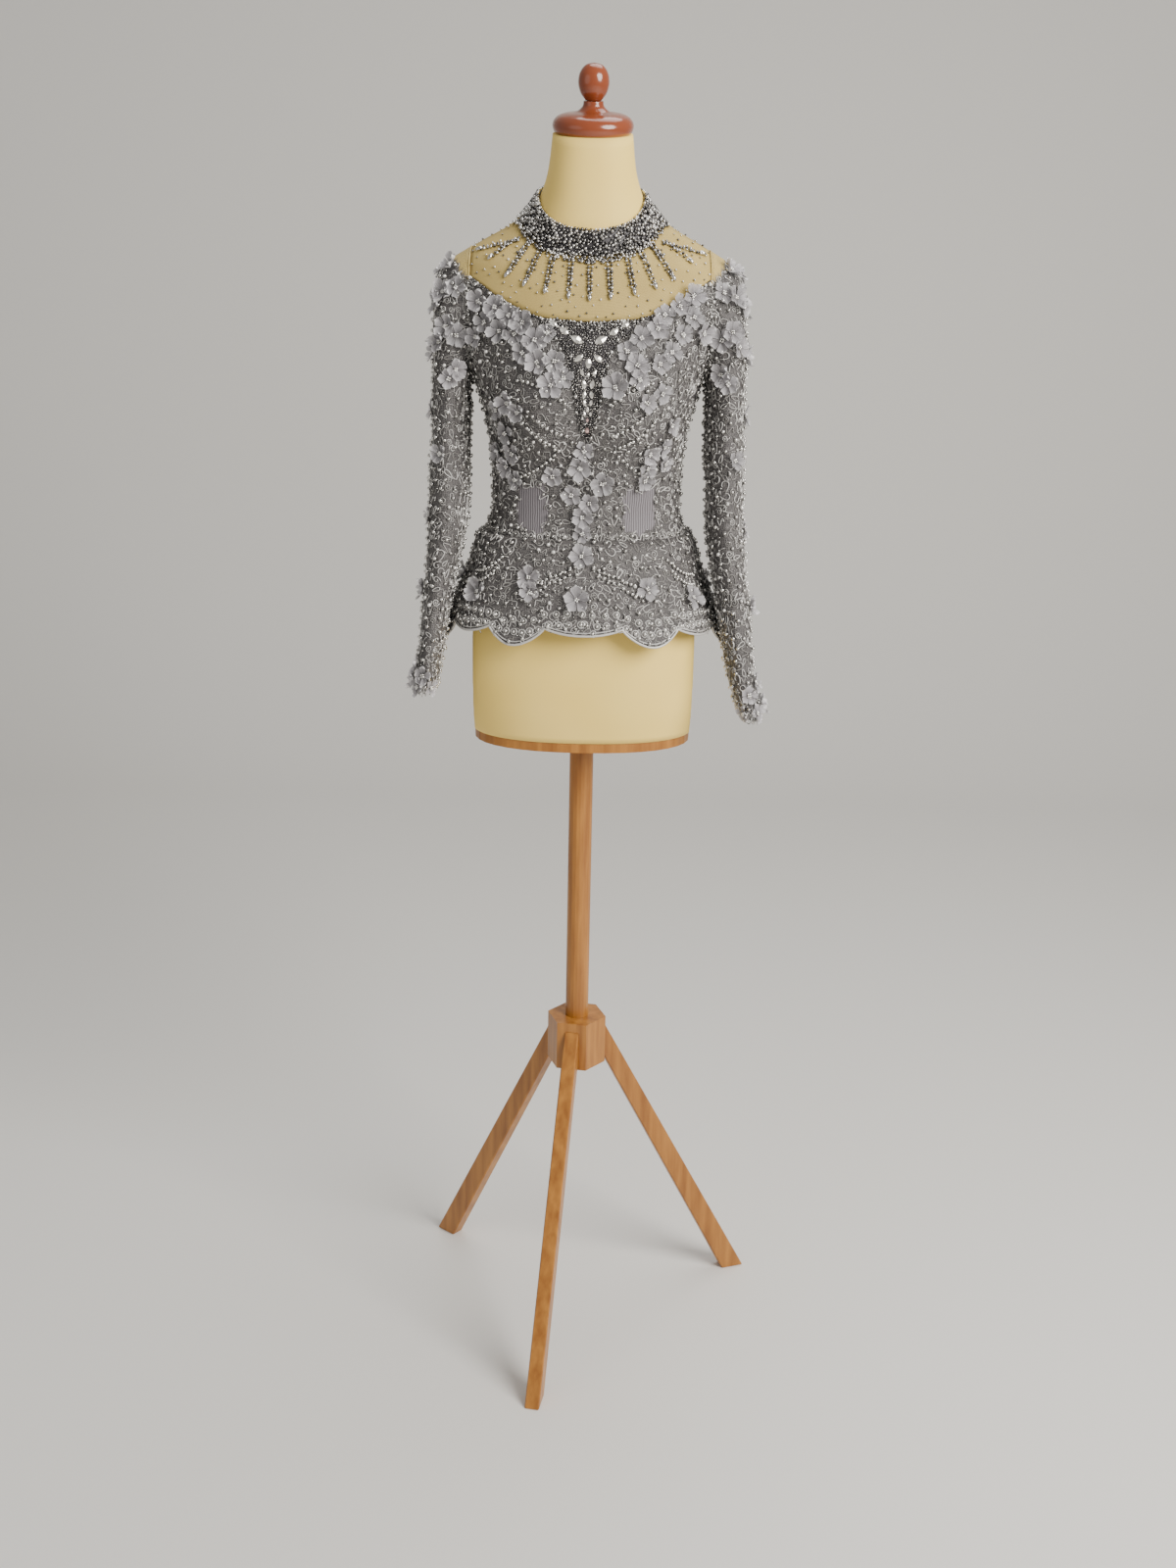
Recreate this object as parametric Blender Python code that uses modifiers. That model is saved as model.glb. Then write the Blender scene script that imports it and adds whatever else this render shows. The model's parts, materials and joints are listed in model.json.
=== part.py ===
"""A kebaya blouse standing on a limbless dress form.

The blouse is cut from collar, yokes, bodice, peplum and sleeves. Each piece is a cloth
wall on a general figure: the figure gives one ring at any height, and a panel is a grid
of turns and heights on it, moved out by the panel's own lift. Metres, +Z up. The front
faces -Y, and the wearer's left is +X.
"""
import math

import bmesh
import bpy
from mathutils import Vector

# Cloth
CLOTH_WALL = 0.0020
CLOTH_LIFT = 0.0005
SEAM_GAP = 0.0003
BOAT_SEAM_GAP = 0.0009
PANEL_COLUMNS = 20

# The figure: one ring for each height at its sides, lower at the front of the neck
FIGURE_POWER = 2.3
FORM_INSET = 0.0022
FORM_INSET_AT_NECK = 0.0005
FORM_RING_SPACE = 0.045
FORM_COLUMNS = 36
# Columns: height, half_width, front, back, centre_y, front_drop, back_raise
FIGURE = (
    (0.885, 0.148, 0.094, 0.112, 0.000, 0.000, 0.000),
    (0.930, 0.162, 0.104, 0.124, 0.000, 0.000, 0.000),
    (0.980, 0.168, 0.109, 0.130, 0.000, 0.000, 0.000),
    (1.030, 0.165, 0.109, 0.128, 0.000, 0.000, 0.000),
    (1.080, 0.152, 0.104, 0.116, 0.000, 0.000, 0.000),
    (1.135, 0.130, 0.096, 0.096, 0.000, 0.000, 0.000),
    (1.185, 0.1170, 0.089, 0.084, 0.000, 0.000, 0.000),
    (1.235, 0.1180, 0.092, 0.084, 0.000, 0.000, 0.000),
    (1.290, 0.1260, 0.100, 0.092, 0.000, 0.000, 0.000),
    (1.335, 0.1390, 0.103, 0.100, 0.000, 0.000, 0.000),
    (1.380, 0.1580, 0.102, 0.105, 0.000, 0.000, 0.000),
    (1.420, 0.1680, 0.094, 0.105, 0.000, 0.000, 0.000),
    (1.450, 0.1700, 0.083, 0.100, 0.000, 0.000, 0.000),
    (1.475, 0.1640, 0.073, 0.091, 0.000, 0.004, 0.001),
    (1.490, 0.1510, 0.068, 0.084, 0.000, 0.012, 0.003),
    (1.503, 0.1300, 0.064, 0.077, 0.000, 0.022, 0.006),
    (1.517, 0.1030, 0.060, 0.071, -0.001, 0.033, 0.010),
    (1.531, 0.0830, 0.056, 0.065, -0.002, 0.044, 0.014),
    (1.545, 0.0705, 0.054, 0.060, -0.003, 0.042, 0.015),
    (1.560, 0.0620, 0.051, 0.055, -0.004, 0.040, 0.015),
    (1.590, 0.0535, 0.048, 0.050, -0.008, 0.028, 0.012),
    (1.628, 0.0490, 0.047, 0.047, -0.012, 0.0075, 0.0075),
)
CUP_OUT = 0.020
CUP_X = 0.072
CUP_HEIGHT = 1.305
CUP_SPREAD = 0.040

# Seams and edges
ARMHOLE_X = 0.1475
ARMPIT_LEVEL = 1.300
WAIST_SEAM = 1.150
# Columns: x, front_height, back_height
BOAT_LINE = (
    (0.000, 1.412, 1.425),
    (0.055, 1.416, 1.428),
    (0.105, 1.436, 1.440),
    (0.145, 1.462, 1.462),
)
BODICE_ROWS = 12
YOKE_ROWS = 7
SHOULDER_COLUMNS = 4
SHOULDER_EASE_X = 0.070

# Collar
COLLAR_WALL = 0.0026
COLLAR_ROLL = 0.0016
COLLAR_ROWS = 5
COLLAR_ROLL_SHARES = (0.6, 1.0, 0.4, 0.4, 1.0, 0.6)
NECK_RING = 1.531
COLLAR_TOP_RING = 1.558

# Peplum
PEPLUM_COLUMNS_PER_HALF = 32
PEPLUM_DOWNS = (1.0, 0.80, 0.56, 0.32, 0.14, 0.04, 0.0)
PEPLUM_WALL = 0.0020
# Columns: down, half_width, front, back
PEPLUM = (
    (0.00, 0.1265, 0.0955, 0.0930),
    (0.04, 0.1365, 0.1050, 0.1030),
    (0.15, 0.1420, 0.1100, 0.1090),
    (0.40, 0.1515, 0.1180, 0.1200),
    (0.70, 0.1680, 0.1280, 0.1360),
    (1.00, 0.1810, 0.1360, 0.1500),
)
HEM_FRONT = 1.046
HEM_SIDE = 1.034
HEM_BACK = 1.028
LOBES_ROUND = 7
DEEP_LOBE = 0.022
SHALLOW_LOBE = 0.008
FLUTE_DEPTH = 0.0020

# Sleeves: the outer and inner edge of each section, seen from the front
SLEEVE_AROUND = 18
SLEEVE_WALL = 0.0020
# Columns: outer_x, outer_z, inner_x, inner_z, half_depth, centre_y
RIGHT_SLEEVE = (
    (0.1690, 1.4820, 0.1492, 1.3340, 0.057, 0.002),
    (0.1840, 1.4640, 0.1496, 1.3210, 0.057, 0.001),
    (0.1915, 1.4300, 0.1500, 1.3060, 0.057, 0.000),
    (0.1935, 1.3860, 0.1505, 1.2880, 0.057, -0.002),
    (0.1935, 1.3350, 0.1510, 1.2670, 0.056, -0.005),
    (0.1935, 1.2840, 0.1515, 1.2430, 0.055, -0.010),
    (0.1960, 1.2350, 0.1520, 1.2120, 0.054, -0.017),
    (0.1966, 1.1890, 0.1525, 1.1800, 0.052, -0.026),
    (0.1977, 1.1410, 0.1580, 1.1410, 0.050, -0.038),
    (0.1996, 1.0990, 0.1664, 1.0990, 0.047, -0.050),
    (0.2036, 1.0520, 0.1744, 1.0520, 0.044, -0.061),
    (0.2067, 1.0110, 0.1805, 1.0110, 0.041, -0.070),
    (0.2105, 0.9750, 0.1868, 0.9750, 0.038, -0.076),
    (0.2132, 0.9570, 0.1895, 0.9570, 0.037, -0.078),
)
LEFT_SLEEVE = (
    (0.1690, 1.4820, 0.1492, 1.3340, 0.057, 0.002),
    (0.1840, 1.4640, 0.1496, 1.3210, 0.057, 0.001),
    (0.1920, 1.4300, 0.1500, 1.3060, 0.057, 0.000),
    (0.1950, 1.3860, 0.1505, 1.2880, 0.057, -0.002),
    (0.1955, 1.3350, 0.1510, 1.2670, 0.056, -0.005),
    (0.1955, 1.2840, 0.1515, 1.2430, 0.055, -0.010),
    (0.1970, 1.2300, 0.1550, 1.2120, 0.054, -0.017),
    (0.1976, 1.1790, 0.1555, 1.1740, 0.052, -0.026),
    (0.2016, 1.1310, 0.1605, 1.1310, 0.050, -0.038),
    (0.2054, 1.0850, 0.1683, 1.0850, 0.047, -0.050),
    (0.2108, 1.0380, 0.1772, 1.0380, 0.043, -0.062),
    (0.2149, 0.9970, 0.1843, 0.9970, 0.040, -0.070),
    (0.2215, 0.9570, 0.1944, 0.9570, 0.037, -0.076),
    (0.2289, 0.9270, 0.2048, 0.9270, 0.036, -0.078),
)

# Pendant motif at the centre front
PENDANT_WALL = 0.0024
PENDANT_CLEAR = 0.0010
# Columns: height, half_width
PENDANT_OUTLINE = (
    (1.276, 0.005),
    (1.300, 0.012),
    (1.330, 0.018),
    (1.368, 0.024),
    (1.384, 0.030),
    (1.396, 0.044),
    (1.406, 0.056),
)
PENDANT_SPANS = 6

# Bead rays below the collar: each station's share of the way, width and rise
# Columns: share, width, rise
RAY_STATIONS = (
    (0.00, 0.0050, 0.0024),
    (0.84, 0.0080, 0.0040),
    (1.00, 0.0012, 0.0020),
)
RAY_SINK = 0.0008
RAY_START = 0.007
RAY_START_FRONT = 2.5
RAY_START_TURN = 0.92
# Columns: tip_x, tip_height
FRONT_RAYS = (
    (0.000, 1.4400),
    (0.024, 1.4430),
    (0.045, 1.4480),
    (0.064, 1.4520),
    (0.082, 1.4570),
    (0.101, 1.4660),
    (0.117, 1.4800),
)

# Flowers: petals stand up round a bead
PETALS = 5
PETAL_REACH = 0.0115
PETAL_NOTCH = 0.0072
PETAL_RISE = 0.0030
FLOWER_HEART_RISE = 0.0042
FLOWER_SINK = 0.0008
# Columns: x, height, size
BODICE_FRONT_FLOWERS = (
    (-0.063, 1.390, 1.05),
    (-0.060, 1.361, 1.00),
    (-0.044, 1.331, 1.05),
    (0.038, 1.337, 1.05),
    (0.064, 1.394, 1.00),
    (0.055, 1.363, 1.00),
    (0.122, 1.428, 0.95),
    (-0.104, 1.418, 1.00),
    (-0.090, 1.290, 0.95),
    (-0.094, 1.249, 0.90),
    (-0.038, 1.228, 0.95),
    (-0.004, 1.234, 1.05),
    (0.002, 1.182, 1.05),
    (0.074, 1.245, 0.95),
)
BODICE_BACK_FLOWERS = (
    (0.036, 1.398, 1.00),
    (0.078, 1.398, 1.00),
    (0.048, 1.352, 0.90),
    (0.034, 1.228, 1.00),
)
# Columns: turn_degrees, down, size
PEPLUM_FRONT_FLOWERS = (
    (-1.0, 0.22, 1.00),
    (-2.0, 0.62, 1.00),
    (-26.0, 0.26, 1.00),
    (27.0, 0.50, 1.00),
    (-55.0, 0.62, 1.00),
    (56.0, 0.62, 1.00),
)
PEPLUM_BACK_FLOWERS = (
    (150.0, 0.40, 1.00),
    (118.0, 0.60, 1.00),
)
# Columns: section, round_degrees, size
RIGHT_SLEEVE_FLOWERS = (
    (1.6, 20.0, 1.00),
    (2.8, 40.0, 1.00),
    (5.6, 35.0, 1.00),
    (10.0, 40.0, 0.95),
)
LEFT_SLEEVE_FLOWERS = (
    (1.6, 20.0, 1.00),
    (3.0, 40.0, 1.00),
    (6.4, 35.0, 1.00),
    (10.6, 40.0, 0.95),
)

# Stand
CAP_TILT = math.radians(9.1)
# Columns: radius, height
CAP_PROFILE = (
    (0.0000, 0.0370),
    (0.0116, 0.0370),
    (0.0126, 0.0320),
    (0.0168, 0.0272),
    (0.0205, 0.0250),
    (0.0330, 0.0232),
    (0.0430, 0.0196),
    (0.0482, 0.0135),
    (0.0492, 0.0090),
    (0.0475, 0.0030),
    (0.0440, 0.0000),
    (0.0000, 0.0000),
)
KNOB_PROFILE = (
    (0.0000, 0.0420),
    (0.0080, 0.0405),
    (0.0142, 0.0355),
    (0.0180, 0.0275),
    (0.0188, 0.0200),
    (0.0168, 0.0105),
    (0.0125, 0.0035),
    (0.0085, 0.0000),
    (0.0000, 0.0000),
)
TURNED_STEPS = 20
BOARD_THICKNESS = 0.012
BOARD_SHARE = 0.97
POLE_RADIUS = 0.016
HUB_TOP = 0.460
HUB_HEIGHT = 0.070
HUB_FLAT = 0.036
LEG_TOP_BAND = (0.398, 0.448)
LEG_FOOT_BAND = (0.242, 0.276)
LEG_WIDTH = 0.020
LEG_BEVEL = 0.0015
LEG_AZIMUTHS = {"leg_front": 259.5, "leg_left": 19.5, "leg_right": 139.5}

# Finishes: base colour, roughness, metallic
FINISHES = {
    "lace": ((0.235, 0.220, 0.205), 0.62, 0.15),
    "net": ((0.450, 0.360, 0.190), 0.75, 0.0),
    "beadwork": ((0.380, 0.370, 0.350), 0.25, 0.7),
    "form_cover": ((0.800, 0.690, 0.430), 0.85, 0.0),
    "lacquer": ((0.330, 0.080, 0.020), 0.18, 0.0),
    "stand_wood": ((0.340, 0.120, 0.030), 0.40, 0.0),
}


def clear_scene():
    for item in list(bpy.data.objects):
        bpy.data.objects.remove(item, do_unlink=True)


def new_collection(name):
    collection = bpy.data.collections.new(name)
    bpy.context.scene.collection.children.link(collection)
    return collection


def finish(name):
    """Return the named finish as a material, made once."""
    found = bpy.data.materials.get(name)
    if found:
        return found
    colour, roughness, metallic = FINISHES[name]
    material = bpy.data.materials.new(name)
    material.use_nodes = True
    shader = material.node_tree.nodes["Principled BSDF"]
    shader.inputs["Base Color"].default_value = (*colour, 1.0)
    shader.inputs["Roughness"].default_value = roughness
    shader.inputs["Metallic"].default_value = metallic
    return material


def add_object(name, data, collection, finish_name=None):
    item = bpy.data.objects.new(name, data)
    collection.objects.link(item)
    if finish_name:
        data.materials.append(finish(finish_name))
    return item


def slope_at(table, row, column):
    """Slope of one column at a row, flat where the column turns back."""
    if row == 0 or row == len(table) - 1:
        near = max(row, 1)
        rise = table[near][column] - table[near - 1][column]
        return rise / (table[near][0] - table[near - 1][0])
    below = (table[row][column] - table[row - 1][column]) / (table[row][0] - table[row - 1][0])
    above = (table[row + 1][column] - table[row][column]) / (table[row + 1][0] - table[row][0])
    if below * above <= 0:
        return 0.0
    return 2 * below * above / (below + above)


def read_table(table, where):
    """Read all columns after the first on a smooth curve through the table's rows."""
    where = min(max(where, table[0][0]), table[-1][0])
    row = 0
    while row < len(table) - 2 and where > table[row + 1][0]:
        row += 1
    span = table[row + 1][0] - table[row][0]
    t = (where - table[row][0]) / span
    values = []
    for column in range(1, len(table[0])):
        start = table[row][column]
        end = table[row + 1][column]
        rise = (
            start * (2 * t**3 - 3 * t**2 + 1)
            + end * (3 * t**2 - 2 * t**3)
            + slope_at(table, row, column) * span * (t**3 - 2 * t**2 + t)
            + slope_at(table, row + 1, column) * span * (t**3 - t**2)
        )
        values.append(rise)
    return values


def signed_power(value, power):
    return math.copysign(abs(value) ** power, value)


def cup_swell(x, height, facing_front):
    """How far the cups push the front out."""
    if facing_front <= 0:
        return 0.0
    across = (abs(x) - CUP_X) / CUP_SPREAD
    up = (height - CUP_HEIGHT) / CUP_SPREAD
    return CUP_OUT * facing_front * math.exp(-(across**2 + up**2) / 2)


def figure_point(turn, height):
    """A point on the figure. Turn is 0 at the centre front and 90 degrees at +X."""
    half_width, front, back, centre_y, front_drop, back_raise = read_table(FIGURE, height)
    sine = math.sin(turn)
    cosine = math.cos(turn)
    x = half_width * signed_power(sine, 2 / FIGURE_POWER)
    facing = signed_power(cosine, 2 / FIGURE_POWER)
    depth, fall = (front, front_drop) if cosine >= 0 else (back, back_raise)
    y = centre_y - depth * facing - cup_swell(x, height, cosine)
    return Vector((x, y, height - fall * facing))


def outward(surface, across, up, step=0.0004):
    """Outward direction of a surface given by two values."""
    along = surface(across + step, up) - surface(across - step, up)
    rise = surface(across, up + step) - surface(across, up - step)
    return along.cross(rise).normalized()


def figure_lifted(turn, height, lift):
    return figure_point(turn, height) + outward(figure_point, turn, height) * lift


def turn_at(x, height):
    """The turn at which the figure's ring reaches the given x."""
    half_width = read_table(FIGURE, height)[0]
    share = min(abs(x) / half_width, 1.0)
    return math.copysign(math.asin(share ** (FIGURE_POWER / 2)), x)


def edge_turn(height):
    """Turn of a panel's side edge: the side or shoulder seam, or the armhole."""
    return turn_at(ARMHOLE_X - CLOTH_LIFT - CLOTH_WALL, height)


def height_of_width(half_width, low, high):
    """The height between two others at which the figure has this half width."""
    narrows = read_table(FIGURE, low)[0] > read_table(FIGURE, high)[0]
    for _ in range(40):
        middle = (low + high) / 2
        if (read_table(FIGURE, middle)[0] > half_width) == narrows:
            low = middle
        else:
            high = middle
    return (low + high) / 2


def armhole_heights():
    """The armhole's foot at the armpit and its top at the shoulder tip."""
    edge_x = ARMHOLE_X - CLOTH_LIFT - CLOTH_WALL
    return height_of_width(edge_x, 1.290, 1.420), height_of_width(edge_x, 1.450, 1.531)


def boat_height(x, face):
    front, back = read_table(BOAT_LINE, abs(x))
    return front if face == "front" else back


def facing_turn(turn, face):
    return turn if face == "front" else math.pi - turn


def boat_height_at(side, face):
    """Height of the boat line where a bodice column meets it."""
    turn = abs(side) * edge_turn(boat_height(ARMHOLE_X, face))
    height = boat_height(0, face)
    for _ in range(6):
        height = boat_height(figure_point(turn, height).x, face)
    return height


def close_wall(name, inner, outer, collection, finish_name, around=False):
    """Join an inner and an outer grid of points into one closed wall."""
    mesh = bmesh.new()
    inside = [[mesh.verts.new(point) for point in row] for row in inner]
    outside = [[mesh.verts.new(point) for point in row] for row in outer]
    columns = len(inner[0])
    spans = columns if around else columns - 1
    for row in range(len(inner) - 1):
        for column in range(spans):
            beside = (column + 1) % columns
            for grid in (inside, outside):
                low, high = grid[row], grid[row + 1]
                mesh.faces.new((low[column], low[beside], high[beside], high[column]))
    edges = [(inside[row], outside[row], spans) for row in (0, -1)]
    if not around:
        for column in (0, -1):
            inner_edge = [row[column] for row in inside]
            outer_edge = [row[column] for row in outside]
            edges.append((inner_edge, outer_edge, len(inner) - 1))
    for inner_edge, outer_edge, count in edges:
        for step in range(count):
            beside = (step + 1) % len(inner_edge)
            corners = (inner_edge[step], inner_edge[beside], outer_edge[beside], outer_edge[step])
            mesh.faces.new(corners)
    return mesh_object(name, mesh, collection, finish_name)


def mesh_object(name, mesh, collection, finish_name=None):
    """Make an object of closed forms, with their faces pointing out."""
    bmesh.ops.recalc_face_normals(mesh, faces=mesh.faces)
    if mesh.calc_volume(signed=True) < 0:
        bmesh.ops.reverse_faces(mesh, faces=mesh.faces)
    data = bpy.data.meshes.new(name)
    mesh.to_mesh(data)
    mesh.free()
    return add_object(name, data, collection, finish_name)


def bodice_panel(name, face, sides, collection):
    """A bodice panel from the waist seam to the boat line, in columns of turns."""
    grids = ([], [])
    highs = [boat_height_at(side, face) - BOAT_SEAM_GAP / 2 for side in sides]
    side_high = boat_height(ARMHOLE_X, face)
    half_gap = SEAM_GAP / 2 if face == "back" else -SEAM_GAP / 2
    for row in range(BODICE_ROWS + 1):
        share = row / BODICE_ROWS
        row_edge = edge_turn(WAIST_SEAM + (side_high - WAIST_SEAM) * share)
        lines = ([], [])
        for side, high in zip(sides, highs):
            height = WAIST_SEAM + (high - WAIST_SEAM) * share
            turn = facing_turn(side * row_edge, face)
            for line, lift in zip(lines, (CLOTH_LIFT, CLOTH_LIFT + CLOTH_WALL)):
                point = figure_lifted(turn, height, lift)
                if abs(side) == 1:
                    point.y += half_gap
                if side == 0 and face == "back":
                    point.x += math.copysign(SEAM_GAP / 2, sum(sides))
                line.append(point)
        for grid, line in zip(grids, lines):
            grid.append(line)
    close_wall(name, grids[0], grids[1], collection, "lace")


def yoke_columns(face):
    """Columns of a half yoke: along the neckline, then down the shoulder seam to its tip."""
    columns = []
    quarter = PANEL_COLUMNS // 2
    for step in range(quarter + 1):
        turn = facing_turn(math.pi / 2 * step / quarter, face)
        height = NECK_RING - SEAM_GAP / 2
        columns.append((abs(figure_point(turn, height).x), height, step == quarter))
    tip = armhole_heights()[1]
    for step in range(1, SHOULDER_COLUMNS + 1):
        height = NECK_RING + (tip - NECK_RING) * step / SHOULDER_COLUMNS
        columns.append((read_table(FIGURE, height)[0], height, True))
    return columns


def yoke_panel(name, face, hands, collection):
    """A yoke from the boat line to the neckline and the shoulder seam."""
    half = [(1, column) for column in yoke_columns(face)]
    if len(hands) == 2:
        columns = [(-1, column) for _, column in reversed(half[1:])] + half
    else:
        columns = [(hands[0], column) for _, column in half]
    half_gap = SEAM_GAP / 2 if face == "back" else -SEAM_GAP / 2
    grids = ([], [])
    for row in range(YOKE_ROWS + 1):
        share = row / YOKE_ROWS
        lines = ([], [])
        for hand, (x, high, on_shoulder) in columns:
            low = boat_height(x, face) + BOAT_SEAM_GAP / 2
            ease = min(1.0, x / SHOULDER_EASE_X)
            eased = share * (1 - ease) + math.sin(share * math.pi / 2) * ease
            height = low + (high - low) * eased
            turn = facing_turn(hand * turn_at(x, height), face)
            for line, lift in zip(lines, (CLOTH_LIFT, CLOTH_LIFT + CLOTH_WALL)):
                point = figure_lifted(turn, height, lift)
                if on_shoulder and row == YOKE_ROWS:
                    point.y += half_gap
                if x < SEAM_GAP and face == "back":
                    point.x += hand * SEAM_GAP / 2
                line.append(point)
        for grid, line in zip(grids, lines):
            grid.append(line)
    close_wall(name, grids[0], grids[1], collection, "net")


def build_bodice(collection):
    half = PANEL_COLUMNS // 2
    whole = [step / half for step in range(-half, half + 1)]
    bodice_panel("bodice_front", "front", whole, collection)
    for name, hand in (("bodice_back_left", 1), ("bodice_back_right", -1)):
        bodice_panel(name, "back", [hand * step / half for step in range(half + 1)], collection)


def build_yokes(collection):
    yoke_panel("yoke_front", "front", (-1, 1), collection)
    yoke_panel("yoke_back_left", "back", (1,), collection)
    yoke_panel("yoke_back_right", "back", (-1,), collection)


def build_collar(collection):
    """The stand-up band, with a rolled bead edge at its top and foot."""
    columns = 2 * PANEL_COLUMNS
    grids = ([], [])
    for row in range(COLLAR_ROWS + 1):
        lines = ([], [])
        for column in range(columns + 1):
            turn = -math.pi + 2 * math.pi * column / columns
            low = NECK_RING + SEAM_GAP / 2
            height = low + (COLLAR_TOP_RING - low) * row / COLLAR_ROWS
            outer_lift = CLOTH_LIFT + COLLAR_WALL + COLLAR_ROLL * COLLAR_ROLL_SHARES[row]
            for line, lift in zip(lines, (CLOTH_LIFT, outer_lift)):
                point = figure_lifted(turn, height, lift)
                if column in (0, columns):
                    point.x += math.copysign(SEAM_GAP, column - 1)
                line.append(point)
        for grid, line in zip(grids, lines):
            grid.append(line)
    close_wall("collar", grids[0], grids[1], collection, "beadwork")


def hem_height(turn):
    """The scalloped hem: deep and shallow lobes by turns, lower at sides and back."""
    facing = math.cos(turn)
    level = HEM_SIDE + (HEM_FRONT - HEM_SIDE if facing > 0 else HEM_SIDE - HEM_BACK) * facing
    wave = math.cos(LOBES_ROUND * turn)
    deep = DEEP_LOBE * max(0.0, -wave) ** 0.8
    shallow = SHALLOW_LOBE * max(0.0, wave) ** 0.8
    return level - deep - shallow


def peplum_point(turn, down, lift):
    """A point on the peplum. Down is 0 at the waist seam and 1 at the hem."""
    half_width, front, back = read_table(PEPLUM, down)
    seam = figure_lifted(turn, WAIST_SEAM, lift)
    seam_half_width, seam_front, seam_back = PEPLUM[0][1:]
    sine = signed_power(math.sin(turn), 2 / FIGURE_POWER)
    cosine = signed_power(math.cos(turn), 2 / FIGURE_POWER)
    depth = front - seam_front if cosine >= 0 else back - seam_back
    flute = FLUTE_DEPTH * down * math.cos(2 * LOBES_ROUND * turn)
    outward_x = (half_width - seam_half_width + flute) * sine
    outward_y = -(depth + flute) * cosine
    height = WAIST_SEAM - SEAM_GAP + (hem_height(turn) - WAIST_SEAM) * down
    return Vector((seam.x + outward_x, seam.y + outward_y, height + (seam.z - WAIST_SEAM) * (1 - down)))


def build_peplum(collection):
    step = math.pi / PEPLUM_COLUMNS_PER_HALF
    halves = (
        ("peplum_front", -math.pi / 2, PEPLUM_COLUMNS_PER_HALF),
        ("peplum_back_left", math.pi / 2, PEPLUM_COLUMNS_PER_HALF // 2),
        ("peplum_back_right", math.pi, PEPLUM_COLUMNS_PER_HALF // 2),
    )
    for name, start, count in halves:
        grids = []
        for lift in (CLOTH_LIFT, CLOTH_LIFT + PEPLUM_WALL):
            grid = []
            for down in PEPLUM_DOWNS:
                line = []
                for column in range(count + 1):
                    turn = start + step * column
                    point = peplum_point(turn, down, lift)
                    if column in (0, count):
                        along = Vector((math.cos(turn), math.sin(turn), 0.0))
                        point += along * (SEAM_GAP / 2 if column == 0 else -SEAM_GAP / 2)
                    line.append(point)
                grid.append(line)
            grids.append(grid)
        close_wall(name, grids[0], grids[1], collection, "lace")


def armhole_point(turn_round, lift):
    """The bodice's armhole, by a turn round it: 0 at the shoulder, 180 degrees at the armpit."""
    edge_x = ARMHOLE_X - CLOTH_LIFT - CLOTH_WALL
    foot, top = armhole_heights()
    height = (foot + top) / 2 + (top - foot) / 2 * math.cos(turn_round)
    turn = turn_at(edge_x, height)
    if math.sin(turn_round) < 0:
        turn = math.pi - turn
    point = figure_lifted(turn, height, lift)
    return Vector((ARMHOLE_X + SEAM_GAP, point.y, point.z))


def sleeve_point(hand, section, turn_round, lift):
    """A point on a sleeve. Section 0 is the armhole, and the last one is the cuff."""
    table = LEFT_SLEEVE if hand > 0 else RIGHT_SLEEVE
    numbered = [(row + 1, *table[row]) for row in range(len(table))]
    outer_x, outer_z, inner_x, inner_z, half_depth, centre_y = read_table(numbered, section)
    centre = Vector(((outer_x + inner_x) / 2, centre_y, (outer_z + inner_z) / 2))
    across = Vector(((outer_x - inner_x) / 2, 0.0, (outer_z - inner_z) / 2))
    half_width = across.length
    across *= (half_width + lift) / half_width
    depth = Vector((0.0, -(half_depth + lift), 0.0))
    point = centre + across * math.cos(turn_round) + depth * math.sin(turn_round)
    if section < 1:
        point = armhole_point(turn_round, lift + CLOTH_LIFT).lerp(point, section)
    return Vector((hand * point.x, point.y, point.z))


def build_sleeves(collection):
    for name, hand, table in (("sleeve_left", 1, LEFT_SLEEVE), ("sleeve_right", -1, RIGHT_SLEEVE)):
        grids = []
        for lift in (0.0, SLEEVE_WALL):
            grid = []
            for section in range(len(table) + 1):
                turns = [2 * math.pi * step / SLEEVE_AROUND for step in range(SLEEVE_AROUND)]
                grid.append([sleeve_point(hand, section, turn, lift) for turn in turns])
            grids.append(grid)
        close_wall(name, grids[0], grids[1], collection, "lace", around=True)


def build_pendant(collection):
    """The pendant motif lies on the bodice, made from its points moved out."""
    grids = []
    base_lift = CLOTH_LIFT + CLOTH_WALL + PENDANT_CLEAR
    for lift in (base_lift, base_lift + PENDANT_WALL):
        grid = []
        for height, half_width in PENDANT_OUTLINE:
            line = []
            for span in range(PENDANT_SPANS + 1):
                x = half_width * (2 * span / PENDANT_SPANS - 1)
                line.append(figure_lifted(turn_at(x, height), height, lift))
            grid.append(line)
        grids.append(grid)
    close_wall("neck_pendant", grids[0], grids[1], collection, "beadwork")


def add_flower(mesh, centre, normal, up, size, spin):
    """A low open flower whose foot is sunk into the cloth."""
    side = up.cross(normal).normalized()
    rise = normal.cross(side)
    foot = mesh.verts.new(centre - normal * FLOWER_SINK)
    heart = mesh.verts.new(centre + normal * FLOWER_HEART_RISE)
    rings = ([], [])
    for point in range(2 * PETALS):
        turn = spin + math.pi * point / PETALS
        is_tip = point % 2 == 0
        reach = (PETAL_REACH if is_tip else PETAL_NOTCH) * size
        flat = side * math.cos(turn) * reach + rise * math.sin(turn) * reach
        lift = PETAL_RISE if is_tip else PETAL_RISE / 2
        rings[0].append(mesh.verts.new(centre + flat * 0.9 - normal * FLOWER_SINK))
        rings[1].append(mesh.verts.new(centre + flat + normal * lift))
    count = 2 * PETALS
    for point in range(count):
        beside = (point + 1) % count
        mesh.faces.new((foot, rings[0][beside], rings[0][point]))
        mesh.faces.new((heart, rings[1][point], rings[1][beside]))
        mesh.faces.new((rings[0][point], rings[0][beside], rings[1][beside], rings[1][point]))


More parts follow.
